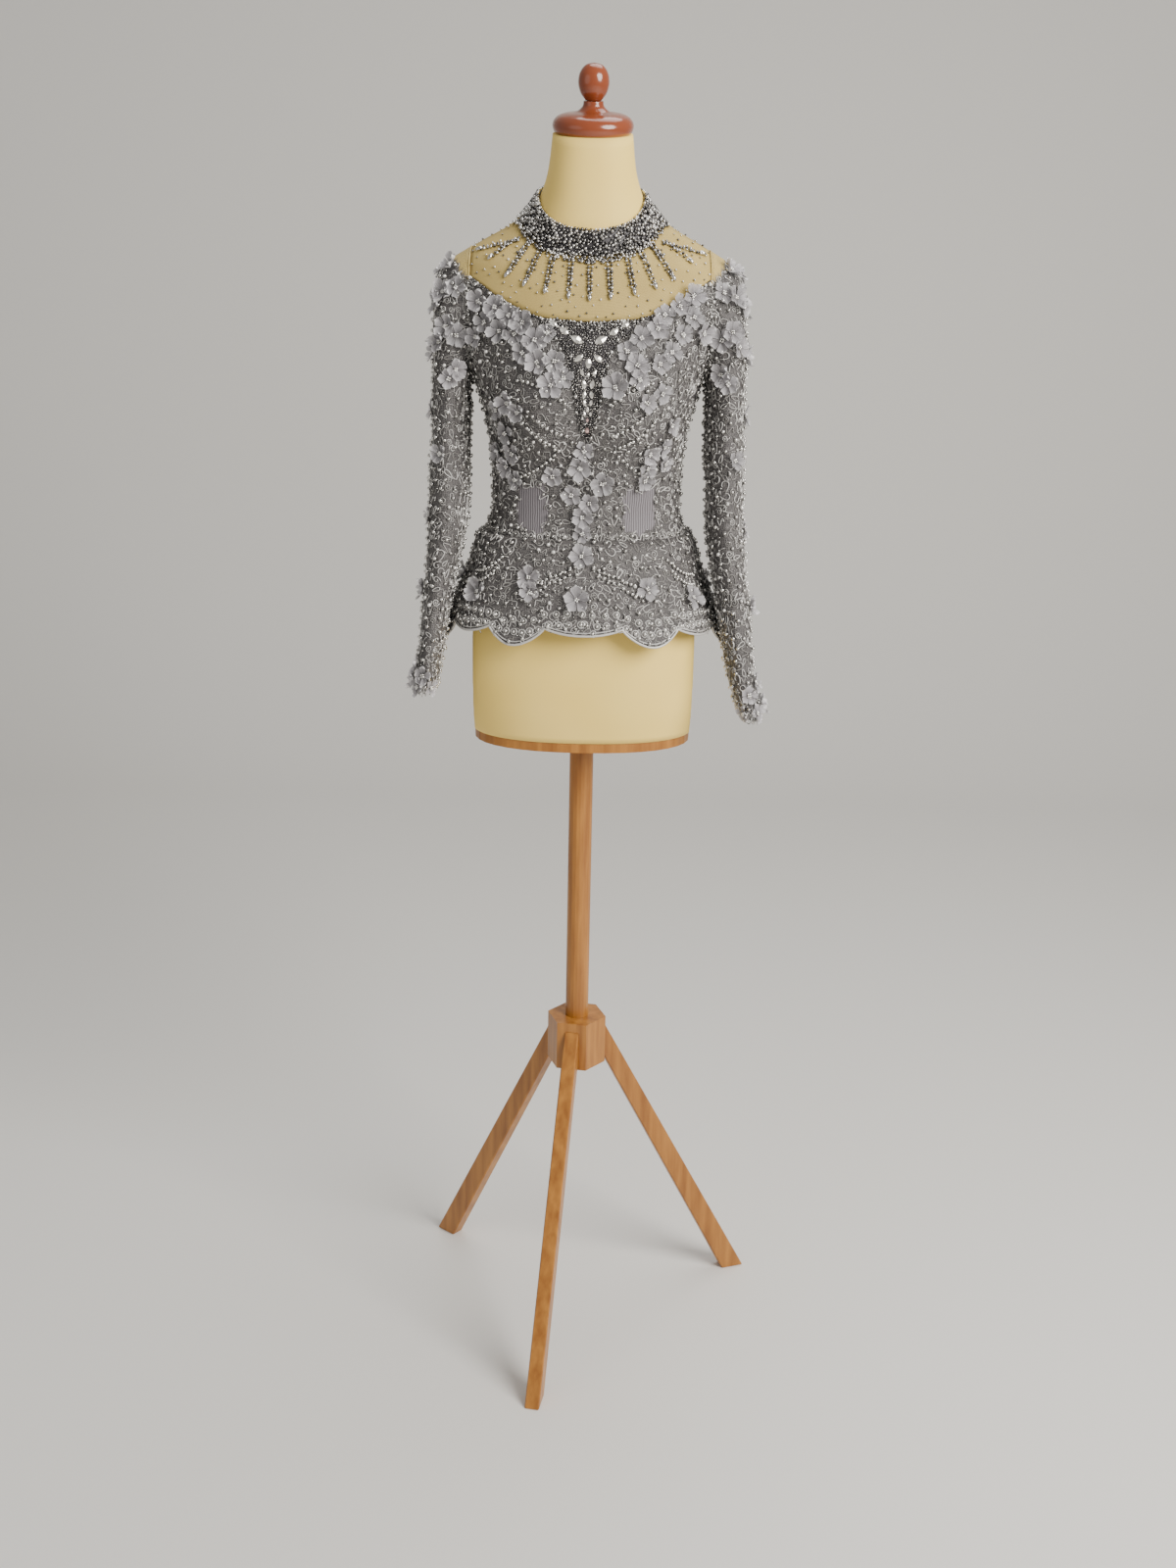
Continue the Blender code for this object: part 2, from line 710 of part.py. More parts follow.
def add_ray(mesh, tip_x, tip_height):
    """A tapering row of beads from the collar's foot, with a drop bead at its tip."""
    tip_turn = turn_at(tip_x, tip_height)
    start_turn = tip_turn * RAY_START_TURN
    start_height = NECK_RING - RAY_START * (1 + RAY_START_FRONT * math.cos(start_turn))
    surface_lift = CLOTH_LIFT + CLOTH_WALL
    start = figure_lifted(start_turn, start_height, surface_lift)
    along = figure_lifted(tip_turn, tip_height, surface_lift) - start
    rings = []
    for share, width, rise in RAY_STATIONS:
        turn = start_turn + (tip_turn - start_turn) * share
        height = start_height + (tip_height - start_height) * share
        on_cloth = figure_lifted(turn, height, surface_lift)
        normal = outward(figure_point, turn, height)
        side = along.cross(normal).normalized() * width / 2
        foot = on_cloth - normal * RAY_SINK
        corners = (foot - side, on_cloth + normal * rise, foot + side)
        rings.append([mesh.verts.new(corner) for corner in corners])
    for near, far in zip(rings, rings[1:]):
        for corner in range(3):
            beside = (corner + 1) % 3
            mesh.faces.new((near[corner], near[beside], far[beside], far[corner]))
    mesh.faces.new(rings[0])
    mesh.faces.new(rings[-1])


def raise_on(panel_name, mesh, cutters):
    """Fuse raised forms to a panel with one union."""
    raised = mesh_object(panel_name + "_raised", mesh, cutters)
    raised.hide_render = True
    raised.display_type = "WIRE"
    union = bpy.data.objects[panel_name].modifiers.new("raised", "BOOLEAN")
    union.operation = "UNION"
    union.solver = "EXACT"
    union.object = raised


def raise_rays(cutters):
    mesh = bmesh.new()
    for tip_x, tip_height in FRONT_RAYS:
        for hand in (1, -1) if tip_x else (1,):
            add_ray(mesh, hand * tip_x, tip_height)
    raise_on("yoke_front", mesh, cutters)


def raise_bodice_flowers(cutters):
    lift = CLOTH_LIFT + CLOTH_WALL
    panels = (
        ("bodice_front", "front", 1, BODICE_FRONT_FLOWERS),
        ("bodice_back_left", "back", 1, BODICE_BACK_FLOWERS),
        ("bodice_back_right", "back", -1, BODICE_BACK_FLOWERS),
    )
    for name, face, hand, flowers in panels:
        mesh = bmesh.new()
        for number, (x, height, size) in enumerate(flowers):
            turn = turn_at(hand * x, height)
            if face == "back":
                turn = math.pi - turn
            normal = outward(figure_point, turn, height)
            add_flower(mesh, figure_lifted(turn, height, lift), normal, Vector((0, 0, 1)), size, number)
        raise_on(name, mesh, cutters)


def raise_peplum_flowers(cutters):
    panels = (
        ("peplum_front", 1, PEPLUM_FRONT_FLOWERS),
        ("peplum_back_left", 1, PEPLUM_BACK_FLOWERS),
        ("peplum_back_right", -1, PEPLUM_BACK_FLOWERS),
    )
    lift = CLOTH_LIFT + PEPLUM_WALL
    for name, hand, flowers in panels:
        mesh = bmesh.new()
        for number, (degrees, down, size) in enumerate(flowers):
            turn = hand * math.radians(degrees)
            normal = -outward(lambda a, b: peplum_point(a, b, lift), turn, down)
            add_flower(mesh, peplum_point(turn, down, lift), normal, Vector((0, 0, 1)), size, number)
        raise_on(name, mesh, cutters)


def raise_sleeve_flowers(cutters):
    for name, hand, flowers in (
        ("sleeve_left", 1, LEFT_SLEEVE_FLOWERS),
        ("sleeve_right", -1, RIGHT_SLEEVE_FLOWERS),
    ):
        mesh = bmesh.new()
        for number, (section, degrees, size) in enumerate(flowers):
            turn = math.radians(degrees)
            centre = sleeve_point(hand, section, turn, SLEEVE_WALL)
            normal = outward(lambda a, b: sleeve_point(hand, b, a, SLEEVE_WALL), turn, section, 0.02)
            middle = (sleeve_point(hand, section, 0, 0) + sleeve_point(hand, section, math.pi, 0)) / 2
            if normal.dot(centre - middle) < 0:
                normal.negate()
            add_flower(mesh, centre, normal, Vector((0, 0, 1)), size, number)
        raise_on(name, mesh, cutters)


def build_form(collection):
    """The padded torso: the figure, cut flat at the armholes, just inside the cloth."""
    mesh = bmesh.new()
    edge_x = ARMHOLE_X - CLOTH_LIFT - CLOTH_WALL - FORM_INSET
    heights = [row[0] for row in FIGURE]
    spans = [(low, high) for low, high in zip(heights, heights[1:]) if high - low > FORM_RING_SPACE]
    between = [(low + high) / 2 for low, high in spans]
    rings = []
    for height in sorted(heights + between):
        ring = []
        inset = FORM_INSET_AT_NECK if height > NECK_RING else FORM_INSET
        for column in range(FORM_COLUMNS):
            turn = 2 * math.pi * column / FORM_COLUMNS
            point = figure_lifted(turn, height, -inset)
            if height > ARMPIT_LEVEL:
                point.x = max(-edge_x, min(edge_x, point.x))
            ring.append(mesh.verts.new(point))
        rings.append(ring)
    for low, high in zip(rings, rings[1:]):
        for column in range(FORM_COLUMNS):
            beside = (column + 1) % FORM_COLUMNS
            mesh.faces.new((low[column], low[beside], high[beside], high[column]))
    mesh.faces.new(rings[0])
    mesh.faces.new(rings[-1])
    mesh_object("form_torso", mesh, collection, "form_cover")


def turned(name, profile, collection, finish_name):
    """A turned piece: a profile spun round its own axis."""
    data = bpy.data.meshes.new(name)
    points = [(radius, 0.0, height) for radius, height in profile]
    edges = [(step, step + 1) for step in range(len(points) - 1)]
    data.from_pydata(points, edges, [])
    item = add_object(name, data, collection, finish_name)
    screw = item.modifiers.new("turn", "SCREW")
    screw.steps = TURNED_STEPS
    screw.render_steps = TURNED_STEPS
    screw.use_merge_vertices = True
    screw.merge_threshold = 0.00001
    return item


def build_cap(collection):
    top_height, centre_y = FIGURE[-1][0], FIGURE[-1][4]
    cap = turned("neck_cap", CAP_PROFILE, collection, "lacquer")
    knob = turned("cap_knob", KNOB_PROFILE, collection, "lacquer")
    axis = Vector((0.0, -math.sin(CAP_TILT), math.cos(CAP_TILT)))
    seat = Vector((0.0, centre_y, top_height)) + axis * SEAM_GAP
    cap.location = seat
    knob.location = seat + axis * (CAP_PROFILE[0][1] + SEAM_GAP)
    for item in (cap, knob):
        item.rotation_euler.x = CAP_TILT


def build_board(collection):
    """The board under the torso follows its lowest ring."""
    outline = bpy.data.curves.new("base_board", "CURVE")
    outline.dimensions = "2D"
    outline.fill_mode = "BOTH"
    outline.extrude = BOARD_THICKNESS / 2
    spline = outline.splines.new("POLY")
    spline.points.add(FORM_COLUMNS - 1)
    for column in range(FORM_COLUMNS):
        point = figure_point(2 * math.pi * column / FORM_COLUMNS, FIGURE[0][0]) * BOARD_SHARE
        spline.points[column].co = (point.x, point.y, 0.0, 1.0)
    spline.use_cyclic_u = True
    board = add_object("base_board", outline, collection, "stand_wood")
    board.location.z = FIGURE[0][0] - SEAM_GAP - BOARD_THICKNESS / 2


def build_pole_and_hub(collection):
    board_underside = FIGURE[0][0] - SEAM_GAP - BOARD_THICKNESS
    pole_low = HUB_TOP + SEAM_GAP
    pole_high = board_underside - SEAM_GAP
    bpy.ops.mesh.primitive_cylinder_add(
        vertices=TURNED_STEPS,
        radius=POLE_RADIUS,
        depth=pole_high - pole_low,
        location=(0, 0, (pole_low + pole_high) / 2),
    )
    pole = bpy.context.object
    bpy.ops.mesh.primitive_cylinder_add(
        vertices=6,
        radius=HUB_FLAT / math.cos(math.pi / 6),
        depth=HUB_HEIGHT,
        location=(0, 0, HUB_TOP - HUB_HEIGHT / 2),
        rotation=(0, 0, math.radians(LEG_AZIMUTHS["leg_left"])),
    )
    hub = bpy.context.object
    for name, item in (("pole", pole), ("hub", hub)):
        item.name = name
        item.data.name = name
        item.data.materials.append(finish("stand_wood"))
        for owner in list(item.users_collection):
            owner.objects.unlink(item)
        collection.objects.link(item)


def build_legs(collection):
    """Three straight legs, each from a flat of the hub to a flat foot on the floor."""
    for name, azimuth in LEG_AZIMUTHS.items():
        mesh = bmesh.new()
        bmesh.ops.create_cube(mesh, size=1.0)
        for vertex in mesh.verts:
            side = LEG_WIDTH * vertex.co.y
            if vertex.co.x < 0:
                height = LEG_TOP_BAND[1] if vertex.co.z > 0 else LEG_TOP_BAND[0]
                vertex.co = (HUB_FLAT + SEAM_GAP, side, height)
            else:
                reach = LEG_FOOT_BAND[1] if vertex.co.z > 0 else LEG_FOOT_BAND[0]
                vertex.co = (reach, side, 0.0)
        leg = mesh_object(name, mesh, collection, "stand_wood")
        bevel = leg.modifiers.new("worn edges", "BEVEL")
        bevel.width = LEG_BEVEL
        bevel.segments = 1
        leg.rotation_euler.z = math.radians(azimuth)


def centre_on_floor(collections):
    """Carry everything on one empty, so that the whole stands centred on the origin."""
    view = bpy.context.evaluated_depsgraph_get()
    corners = []
    for item in collections[0].objects:
        solid = item.evaluated_get(view)
        corners += [item.matrix_world @ vertex.co for vertex in solid.to_mesh().vertices]
        solid.to_mesh_clear()
    middle_x = (min(c.x for c in corners) + max(c.x for c in corners)) / 2
    middle_y = (min(c.y for c in corners) + max(c.y for c in corners)) / 2
    stand = bpy.data.objects.new("stand_point", None)
    collections[0].objects.link(stand)
    for collection in collections:
        for item in collection.objects:
            if item is not stand:
                item.parent = stand
    stand.location = (-middle_x, -middle_y, 0.0)


def smooth_round_pieces(collection):
    for item in collection.objects:
        if item.type == "MESH" and not item.name.startswith(("leg", "hub")):
            item.data.shade_smooth()


def main():
    clear_scene()
    blouse = new_collection("kebaya_blouse_on_form")
    cutters = new_collection("raised_forms")
    build_form(blouse)
    build_bodice(blouse)
    build_yokes(blouse)
    build_collar(blouse)
    build_peplum(blouse)
    build_sleeves(blouse)
    build_pendant(blouse)
    raise_rays(cutters)
    raise_bodice_flowers(cutters)
    raise_peplum_flowers(cutters)
    raise_sleeve_flowers(cutters)
    build_cap(blouse)
    build_board(blouse)
    build_pole_and_hub(blouse)
    build_legs(blouse)
    smooth_round_pieces(blouse)
    bpy.context.view_layer.update()
    centre_on_floor((blouse, cutters))


main()
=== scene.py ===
"""Looks of the kebaya blouse on its dress form.

The blouse is cut as in the solid part, finer, and then the sewn-on work goes on top: cord
scrolls, beads, crystals and fabric flowers, each set out on the cloth's own surface and
repeated by one geometry tree. Metres, +Z up. The front faces -Y, the wearer's left is +X.
"""
import json
import math

import bmesh
import bpy
import numpy as np
from mathutils import Matrix, Vector

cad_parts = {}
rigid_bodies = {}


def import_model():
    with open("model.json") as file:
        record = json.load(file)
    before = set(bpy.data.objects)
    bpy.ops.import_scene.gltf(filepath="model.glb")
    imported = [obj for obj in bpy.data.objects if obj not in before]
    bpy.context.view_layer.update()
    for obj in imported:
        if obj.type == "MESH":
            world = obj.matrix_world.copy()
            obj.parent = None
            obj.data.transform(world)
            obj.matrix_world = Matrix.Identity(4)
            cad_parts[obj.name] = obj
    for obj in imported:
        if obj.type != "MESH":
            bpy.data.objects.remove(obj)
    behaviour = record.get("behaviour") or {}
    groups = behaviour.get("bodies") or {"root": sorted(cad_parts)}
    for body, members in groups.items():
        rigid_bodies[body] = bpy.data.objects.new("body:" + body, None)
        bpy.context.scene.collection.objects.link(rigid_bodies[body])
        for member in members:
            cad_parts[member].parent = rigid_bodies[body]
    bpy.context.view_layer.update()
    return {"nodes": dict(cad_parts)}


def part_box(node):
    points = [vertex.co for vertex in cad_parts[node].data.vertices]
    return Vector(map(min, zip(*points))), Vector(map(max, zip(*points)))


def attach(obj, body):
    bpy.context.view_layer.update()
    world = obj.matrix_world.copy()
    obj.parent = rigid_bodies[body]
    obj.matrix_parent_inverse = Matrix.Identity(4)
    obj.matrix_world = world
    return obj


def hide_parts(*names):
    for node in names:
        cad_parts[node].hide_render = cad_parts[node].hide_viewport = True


# Cloth
CLOTH_WALL = 0.0020
CLOTH_LIFT = 0.0005
SEAM_GAP = 0.0003

# The figure: one ring for each height at its sides, lower at the front of the neck
FIGURE_POWER = 2.3
FORM_INSET = 0.0022
FORM_INSET_AT_NECK = 0.0005
# Columns: height, half_width, front, back, centre_y, front_drop, back_raise
FIGURE = (
    (0.885, 0.148, 0.094, 0.112, 0.000, 0.000, 0.000),
    (0.930, 0.162, 0.104, 0.124, 0.000, 0.000, 0.000),
    (0.980, 0.168, 0.109, 0.130, 0.000, 0.000, 0.000),
    (1.030, 0.165, 0.109, 0.128, 0.000, 0.000, 0.000),
    (1.080, 0.152, 0.104, 0.116, 0.000, 0.000, 0.000),
    (1.135, 0.130, 0.096, 0.096, 0.000, 0.000, 0.000),
    (1.185, 0.1170, 0.089, 0.084, 0.000, 0.000, 0.000),
    (1.235, 0.1180, 0.092, 0.084, 0.000, 0.000, 0.000),
    (1.290, 0.1260, 0.100, 0.092, 0.000, 0.000, 0.000),
    (1.335, 0.1390, 0.103, 0.100, 0.000, 0.000, 0.000),
    (1.380, 0.1580, 0.102, 0.105, 0.000, 0.000, 0.000),
    (1.420, 0.1680, 0.094, 0.105, 0.000, 0.000, 0.000),
    (1.450, 0.1700, 0.083, 0.100, 0.000, 0.000, 0.000),
    (1.475, 0.1640, 0.073, 0.091, 0.000, 0.004, 0.001),
    (1.490, 0.1510, 0.068, 0.084, 0.000, 0.012, 0.003),
    (1.503, 0.1300, 0.064, 0.077, 0.000, 0.022, 0.006),
    (1.517, 0.1030, 0.060, 0.071, -0.001, 0.033, 0.010),
    (1.531, 0.0830, 0.056, 0.065, -0.002, 0.044, 0.014),
    (1.545, 0.0705, 0.054, 0.060, -0.003, 0.042, 0.015),
    (1.560, 0.0620, 0.051, 0.055, -0.004, 0.040, 0.015),
    (1.590, 0.0535, 0.048, 0.050, -0.008, 0.028, 0.012),
    (1.628, 0.0490, 0.047, 0.047, -0.012, 0.0075, 0.0075),
)
CUP_OUT = 0.020
CUP_X = 0.072
CUP_HEIGHT = 1.305
CUP_SPREAD = 0.040

# Seams and edges
ARMHOLE_X = 0.1475
ARMHOLE_EDGE_X = ARMHOLE_X - CLOTH_LIFT - CLOTH_WALL
WAIST_SEAM = 1.150
# Columns: x, front_height, back_height
BOAT_LINE = (
    (0.000, 1.412, 1.425),
    (0.055, 1.416, 1.428),
    (0.105, 1.436, 1.440),
    (0.145, 1.462, 1.462),
)
NECK_RING = 1.531
COLLAR_TOP_RING = 1.558
# Heights between which the armhole has its foot and its top
ARMHOLE_FOOT_RANGE = (1.290, 1.420)
ARMHOLE_TOP_RANGE = (1.450, NECK_RING)

# Peplum. Columns: down, half_width, front, back
PEPLUM = (
    (0.00, 0.1265, 0.0955, 0.0930),
    (0.04, 0.1365, 0.1050, 0.1030),
    (0.15, 0.1420, 0.1100, 0.1090),
    (0.40, 0.1515, 0.1180, 0.1200),
    (0.70, 0.1680, 0.1280, 0.1360),
    (1.00, 0.1810, 0.1360, 0.1500),
)
HEM_FRONT = 1.046
HEM_SIDE = 1.034
HEM_BACK = 1.028
LOBES_ROUND = 7
DEEP_LOBE = 0.022
SHALLOW_LOBE = 0.008
FLUTE_DEPTH = 0.0020

# Sleeves. Columns: outer_x, outer_z, inner_x, inner_z, half_depth, centre_y
RIGHT_SLEEVE = (
    (0.1690, 1.4820, 0.1492, 1.3340, 0.057, 0.002),
    (0.1840, 1.4640, 0.1496, 1.3210, 0.057, 0.001),
    (0.1915, 1.4300, 0.1500, 1.3060, 0.057, 0.000),
    (0.1935, 1.3860, 0.1505, 1.2880, 0.057, -0.002),
    (0.1935, 1.3350, 0.1510, 1.2670, 0.056, -0.005),
    (0.1935, 1.2840, 0.1515, 1.2430, 0.055, -0.010),
    (0.1960, 1.2350, 0.1520, 1.2120, 0.054, -0.017),
    (0.1966, 1.1890, 0.1525, 1.1800, 0.052, -0.026),
    (0.1977, 1.1410, 0.1580, 1.1410, 0.050, -0.038),
    (0.1996, 1.0990, 0.1664, 1.0990, 0.047, -0.050),
    (0.2036, 1.0520, 0.1744, 1.0520, 0.044, -0.061),
    (0.2067, 1.0110, 0.1805, 1.0110, 0.041, -0.070),
    (0.2105, 0.9750, 0.1868, 0.9750, 0.038, -0.076),
    (0.2132, 0.9570, 0.1895, 0.9570, 0.037, -0.078),
)
LEFT_SLEEVE = (
    (0.1690, 1.4820, 0.1492, 1.3340, 0.057, 0.002),
    (0.1840, 1.4640, 0.1496, 1.3210, 0.057, 0.001),
    (0.1920, 1.4300, 0.1500, 1.3060, 0.057, 0.000),
    (0.1950, 1.3860, 0.1505, 1.2880, 0.057, -0.002),
    (0.1955, 1.3350, 0.1510, 1.2670, 0.056, -0.005),
    (0.1955, 1.2840, 0.1515, 1.2430, 0.055, -0.010),
    (0.1970, 1.2300, 0.1550, 1.2120, 0.054, -0.017),
    (0.1976, 1.1790, 0.1555, 1.1740, 0.052, -0.026),
    (0.2016, 1.1310, 0.1605, 1.1310, 0.050, -0.038),
    (0.2054, 1.0850, 0.1683, 1.0850, 0.047, -0.050),
    (0.2108, 1.0380, 0.1772, 1.0380, 0.043, -0.062),
    (0.2149, 0.9970, 0.1843, 0.9970, 0.040, -0.070),
    (0.2215, 0.9570, 0.1944, 0.9570, 0.037, -0.076),
    (0.2289, 0.9270, 0.2048, 0.9270, 0.036, -0.078),
)
LAST_SECTION = len(LEFT_SLEEVE)

# Cap and knob. Columns: radius, height
CAP_TILT = math.radians(9.1)
CAP_PROFILE = (
    (0.0000, 0.0370),
    (0.0116, 0.0370),
    (0.0126, 0.0320),
    (0.0168, 0.0272),
    (0.0205, 0.0250),
    (0.0330, 0.0232),
    (0.0430, 0.0196),
    (0.0482, 0.0135),
    (0.0492, 0.0090),
    (0.0475, 0.0030),
    (0.0440, 0.0000),
    (0.0000, 0.0000),
)
KNOB_PROFILE = (
    (0.0000, 0.0420),
    (0.0080, 0.0405),
    (0.0142, 0.0355),
    (0.0180, 0.0275),
    (0.0188, 0.0200),
    (0.0168, 0.0105),
    (0.0125, 0.0035),
    (0.0085, 0.0000),
    (0.0000, 0.0000),
)


class Table:
    """Columns of a table, read on a smooth curve through its rows."""

    def __init__(self, rows):
        self.where = np.array([row[0] for row in rows])
        self.values = np.array([row[1:] for row in rows])
        rise = np.diff(self.values, axis=0) / np.diff(self.where)[:, None]
        product = rise[:-1] * rise[1:]
        total = np.where(product > 0, rise[:-1] + rise[1:], 1.0)
        inner = np.where(product > 0, 2 * product / total, 0.0)
        self.slopes = np.vstack([rise[:1], inner, rise[-1:]])

    def read(self, where):
        where = np.clip(np.asarray(where, float), self.where[0], self.where[-1])
        row = np.clip(np.searchsorted(self.where, where) - 1, 0, len(self.where) - 2)
        span = self.where[row + 1] - self.where[row]
        t = ((where - self.where[row]) / span)[..., None]
        span = span[..., None]
        values = (
            self.values[row] * (2 * t**3 - 3 * t**2 + 1)
            + self.values[row + 1] * (3 * t**2 - 2 * t**3)
            + self.slopes[row] * span * (t**3 - 2 * t**2 + t)
            + self.slopes[row + 1] * span * (t**3 - t**2)
        )
        return np.moveaxis(values, -1, 0)


FIGURE_TABLE = Table(FIGURE)
BOAT_TABLE = Table(BOAT_LINE)
PEPLUM_TABLE = Table(PEPLUM)
SLEEVE_TABLES = {
    hand: Table([(number + 1, *row) for number, row in enumerate(rows)])
    for hand, rows in ((1, LEFT_SLEEVE), (-1, RIGHT_SLEEVE))
}


def turns_round(count, start=0.0):
    """Even turns all the way round."""
    return np.linspace(start, start + 2 * math.pi, count + 1)[:-1]


def signed_power(value, power):
    return np.copysign(np.abs(value) ** power, value)


def figure_point(turn, height):
    """Points on the figure. Turn is 0 at the centre front and 90 degrees at +X."""
    turn, height = np.broadcast_arrays(np.asarray(turn, float), np.asarray(height, float))
    half_width, front, back, centre_y, front_drop, back_raise = FIGURE_TABLE.read(height)
    sine, cosine = np.sin(turn), np.cos(turn)
    x = half_width * signed_power(sine, 2 / FIGURE_POWER)
    facing = signed_power(cosine, 2 / FIGURE_POWER)
    ahead = cosine >= 0
    depth = np.where(ahead, front, back)
    fall = np.where(ahead, front_drop, back_raise)
    across = (np.abs(x) - CUP_X) / CUP_SPREAD
    up = (height - CUP_HEIGHT) / CUP_SPREAD
    swell = CUP_OUT * np.maximum(cosine, 0.0) * np.exp(-(across**2 + up**2) / 2)
    return np.stack([x, centre_y - depth * facing - swell, height - fall * facing], -1)


def outward(surface, across, up, step=0.0004):
    """Outward directions of a surface given by two values."""
    along = surface(across + step, up) - surface(across - step, up)
    rise = surface(across, up + step) - surface(across, up - step)
    normal = np.cross(along, rise)
    return normal / np.maximum(np.linalg.norm(normal, axis=-1, keepdims=True), 1e-12)


def figure_lifted(turn, height, lift):
    return figure_point(turn, height) + outward(figure_point, turn, height) * lift


def turn_at(x, height):
    """The turns at which the figure's rings reach the given x."""
    share = np.minimum(np.abs(x) / FIGURE_TABLE.read(height)[0], 1.0)
    return np.copysign(np.arcsin(share ** (FIGURE_POWER / 2)), x)


def edge_turn(height):
    return turn_at(np.full(np.shape(height), ARMHOLE_EDGE_X), height)


def height_of_width(half_width, low, high):
    """The height between two others at which the figure has this half width."""
    narrows = FIGURE_TABLE.read(low)[0] > FIGURE_TABLE.read(high)[0]
    for _ in range(40):
        middle = (low + high) / 2
        if (FIGURE_TABLE.read(middle)[0] > half_width) == narrows:
            low = middle
        else:
            high = middle
    return (low + high) / 2


def boat_height(x, face):
    return BOAT_TABLE.read(np.abs(x))[0 if face == "front" else 1]


def facing_turn(turn, face):
    return turn if face == "front" else math.pi - turn


def hem_height(turn):
    """The scalloped hem: deep and shallow lobes by turns, lower at sides and back."""
    facing = np.cos(turn)
    level = HEM_SIDE + np.where(facing > 0, HEM_FRONT - HEM_SIDE, HEM_SIDE - HEM_BACK) * facing
    wave = np.cos(LOBES_ROUND * turn)
    deep = DEEP_LOBE * np.maximum(0.0, -wave) ** 0.8
    shallow = SHALLOW_LOBE * np.maximum(0.0, wave) ** 0.8
    return level - deep - shallow


def peplum_point(turn, down, lift=CLOTH_LIFT + CLOTH_WALL):
    """Points on the peplum. Down is 0 at the waist seam and 1 at the hem."""
    turn, down = np.broadcast_arrays(np.asarray(turn, float), np.asarray(down, float))
    half_width, front, back = PEPLUM_TABLE.read(down)
    seam = figure_lifted(turn, np.full(turn.shape, WAIST_SEAM), lift)
    seam_half_width, seam_front, seam_back = PEPLUM[0][1:]
    sine = signed_power(np.sin(turn), 2 / FIGURE_POWER)
    cosine = signed_power(np.cos(turn), 2 / FIGURE_POWER)
    depth = np.where(cosine >= 0, front - seam_front, back - seam_back)
    flute = FLUTE_DEPTH * np.minimum(down, 1.0) * np.cos(2 * LOBES_ROUND * turn)
    x = seam[..., 0] + (half_width - seam_half_width + flute) * sine
    y = seam[..., 1] - (depth + flute) * cosine
    z = WAIST_SEAM - SEAM_GAP + (hem_height(turn) - WAIST_SEAM) * down
    return np.stack([x, y, z + (seam[..., 2] - WAIST_SEAM) * (1 - down)], -1)


def armhole_point(turn_round, lift):
    """The bodice's armhole: 0 at the shoulder and 180 degrees at the armpit."""
    foot = height_of_width(ARMHOLE_EDGE_X, *ARMHOLE_FOOT_RANGE)
    top = height_of_width(ARMHOLE_EDGE_X, *ARMHOLE_TOP_RANGE)
    height = (foot + top) / 2 + (top - foot) / 2 * np.cos(turn_round)
    turn = edge_turn(height)
    turn = np.where(np.sin(turn_round) < 0, math.pi - turn, turn)
    point = figure_lifted(turn, height, lift)
    point[..., 0] = ARMHOLE_X + SEAM_GAP
    return point


def sleeve_point(hand, turn_round, section, lift=CLOTH_WALL):
    """Points on a sleeve. Section 0 is the armhole, and the last one is the cuff."""
    turn_round, section = np.broadcast_arrays(
        np.asarray(turn_round, float), np.asarray(section, float)
    )
    outer_x, outer_z, inner_x, inner_z, half_depth, centre_y = SLEEVE_TABLES[hand].read(section)
    beyond = np.maximum(section - LAST_SECTION, 0.0)
    across = np.stack([(outer_x - inner_x) / 2, np.zeros_like(outer_x), (outer_z - inner_z) / 2], -1)
    centre = np.stack([(outer_x + inner_x) / 2, centre_y, (outer_z + inner_z) / 2 - beyond * 0.03], -1)
    half_width = np.linalg.norm(across, axis=-1, keepdims=True)
    across = across * (half_width + lift) / half_width
    depth = np.stack([np.zeros_like(outer_x), -(half_depth + lift), np.zeros_like(outer_x)], -1)
    point = centre + across * np.cos(turn_round)[..., None] + depth * np.sin(turn_round)[..., None]
    start = armhole_point(turn_round, lift + CLOTH_LIFT)
    share = np.clip(section, 0.0, 1.0)[..., None]
    point = start * (1 - share) + point * share
    return point * np.array([hand, 1.0, 1.0])


# Sizes of the fine cloth
BOAT_SEAM_GAP = 0.0009
COLLAR_WALL = 0.0026
SHOULDER_EASE_X = 0.070
BODICE_COLUMNS = 90
BODICE_ROWS = 64
YOKE_NECK_COLUMNS = 32
YOKE_SHOULDER_COLUMNS = 14
YOKE_ROWS = 25
COLLAR_COLUMNS = 161
COLLAR_ROWS = 13
PEPLUM_COLUMNS = 144
SLEEVE_COLUMNS = 64
SLEEVE_ROWS = 81
FORM_ROWS = 96
FORM_COLUMNS = 80
TURNED_STEPS = 56


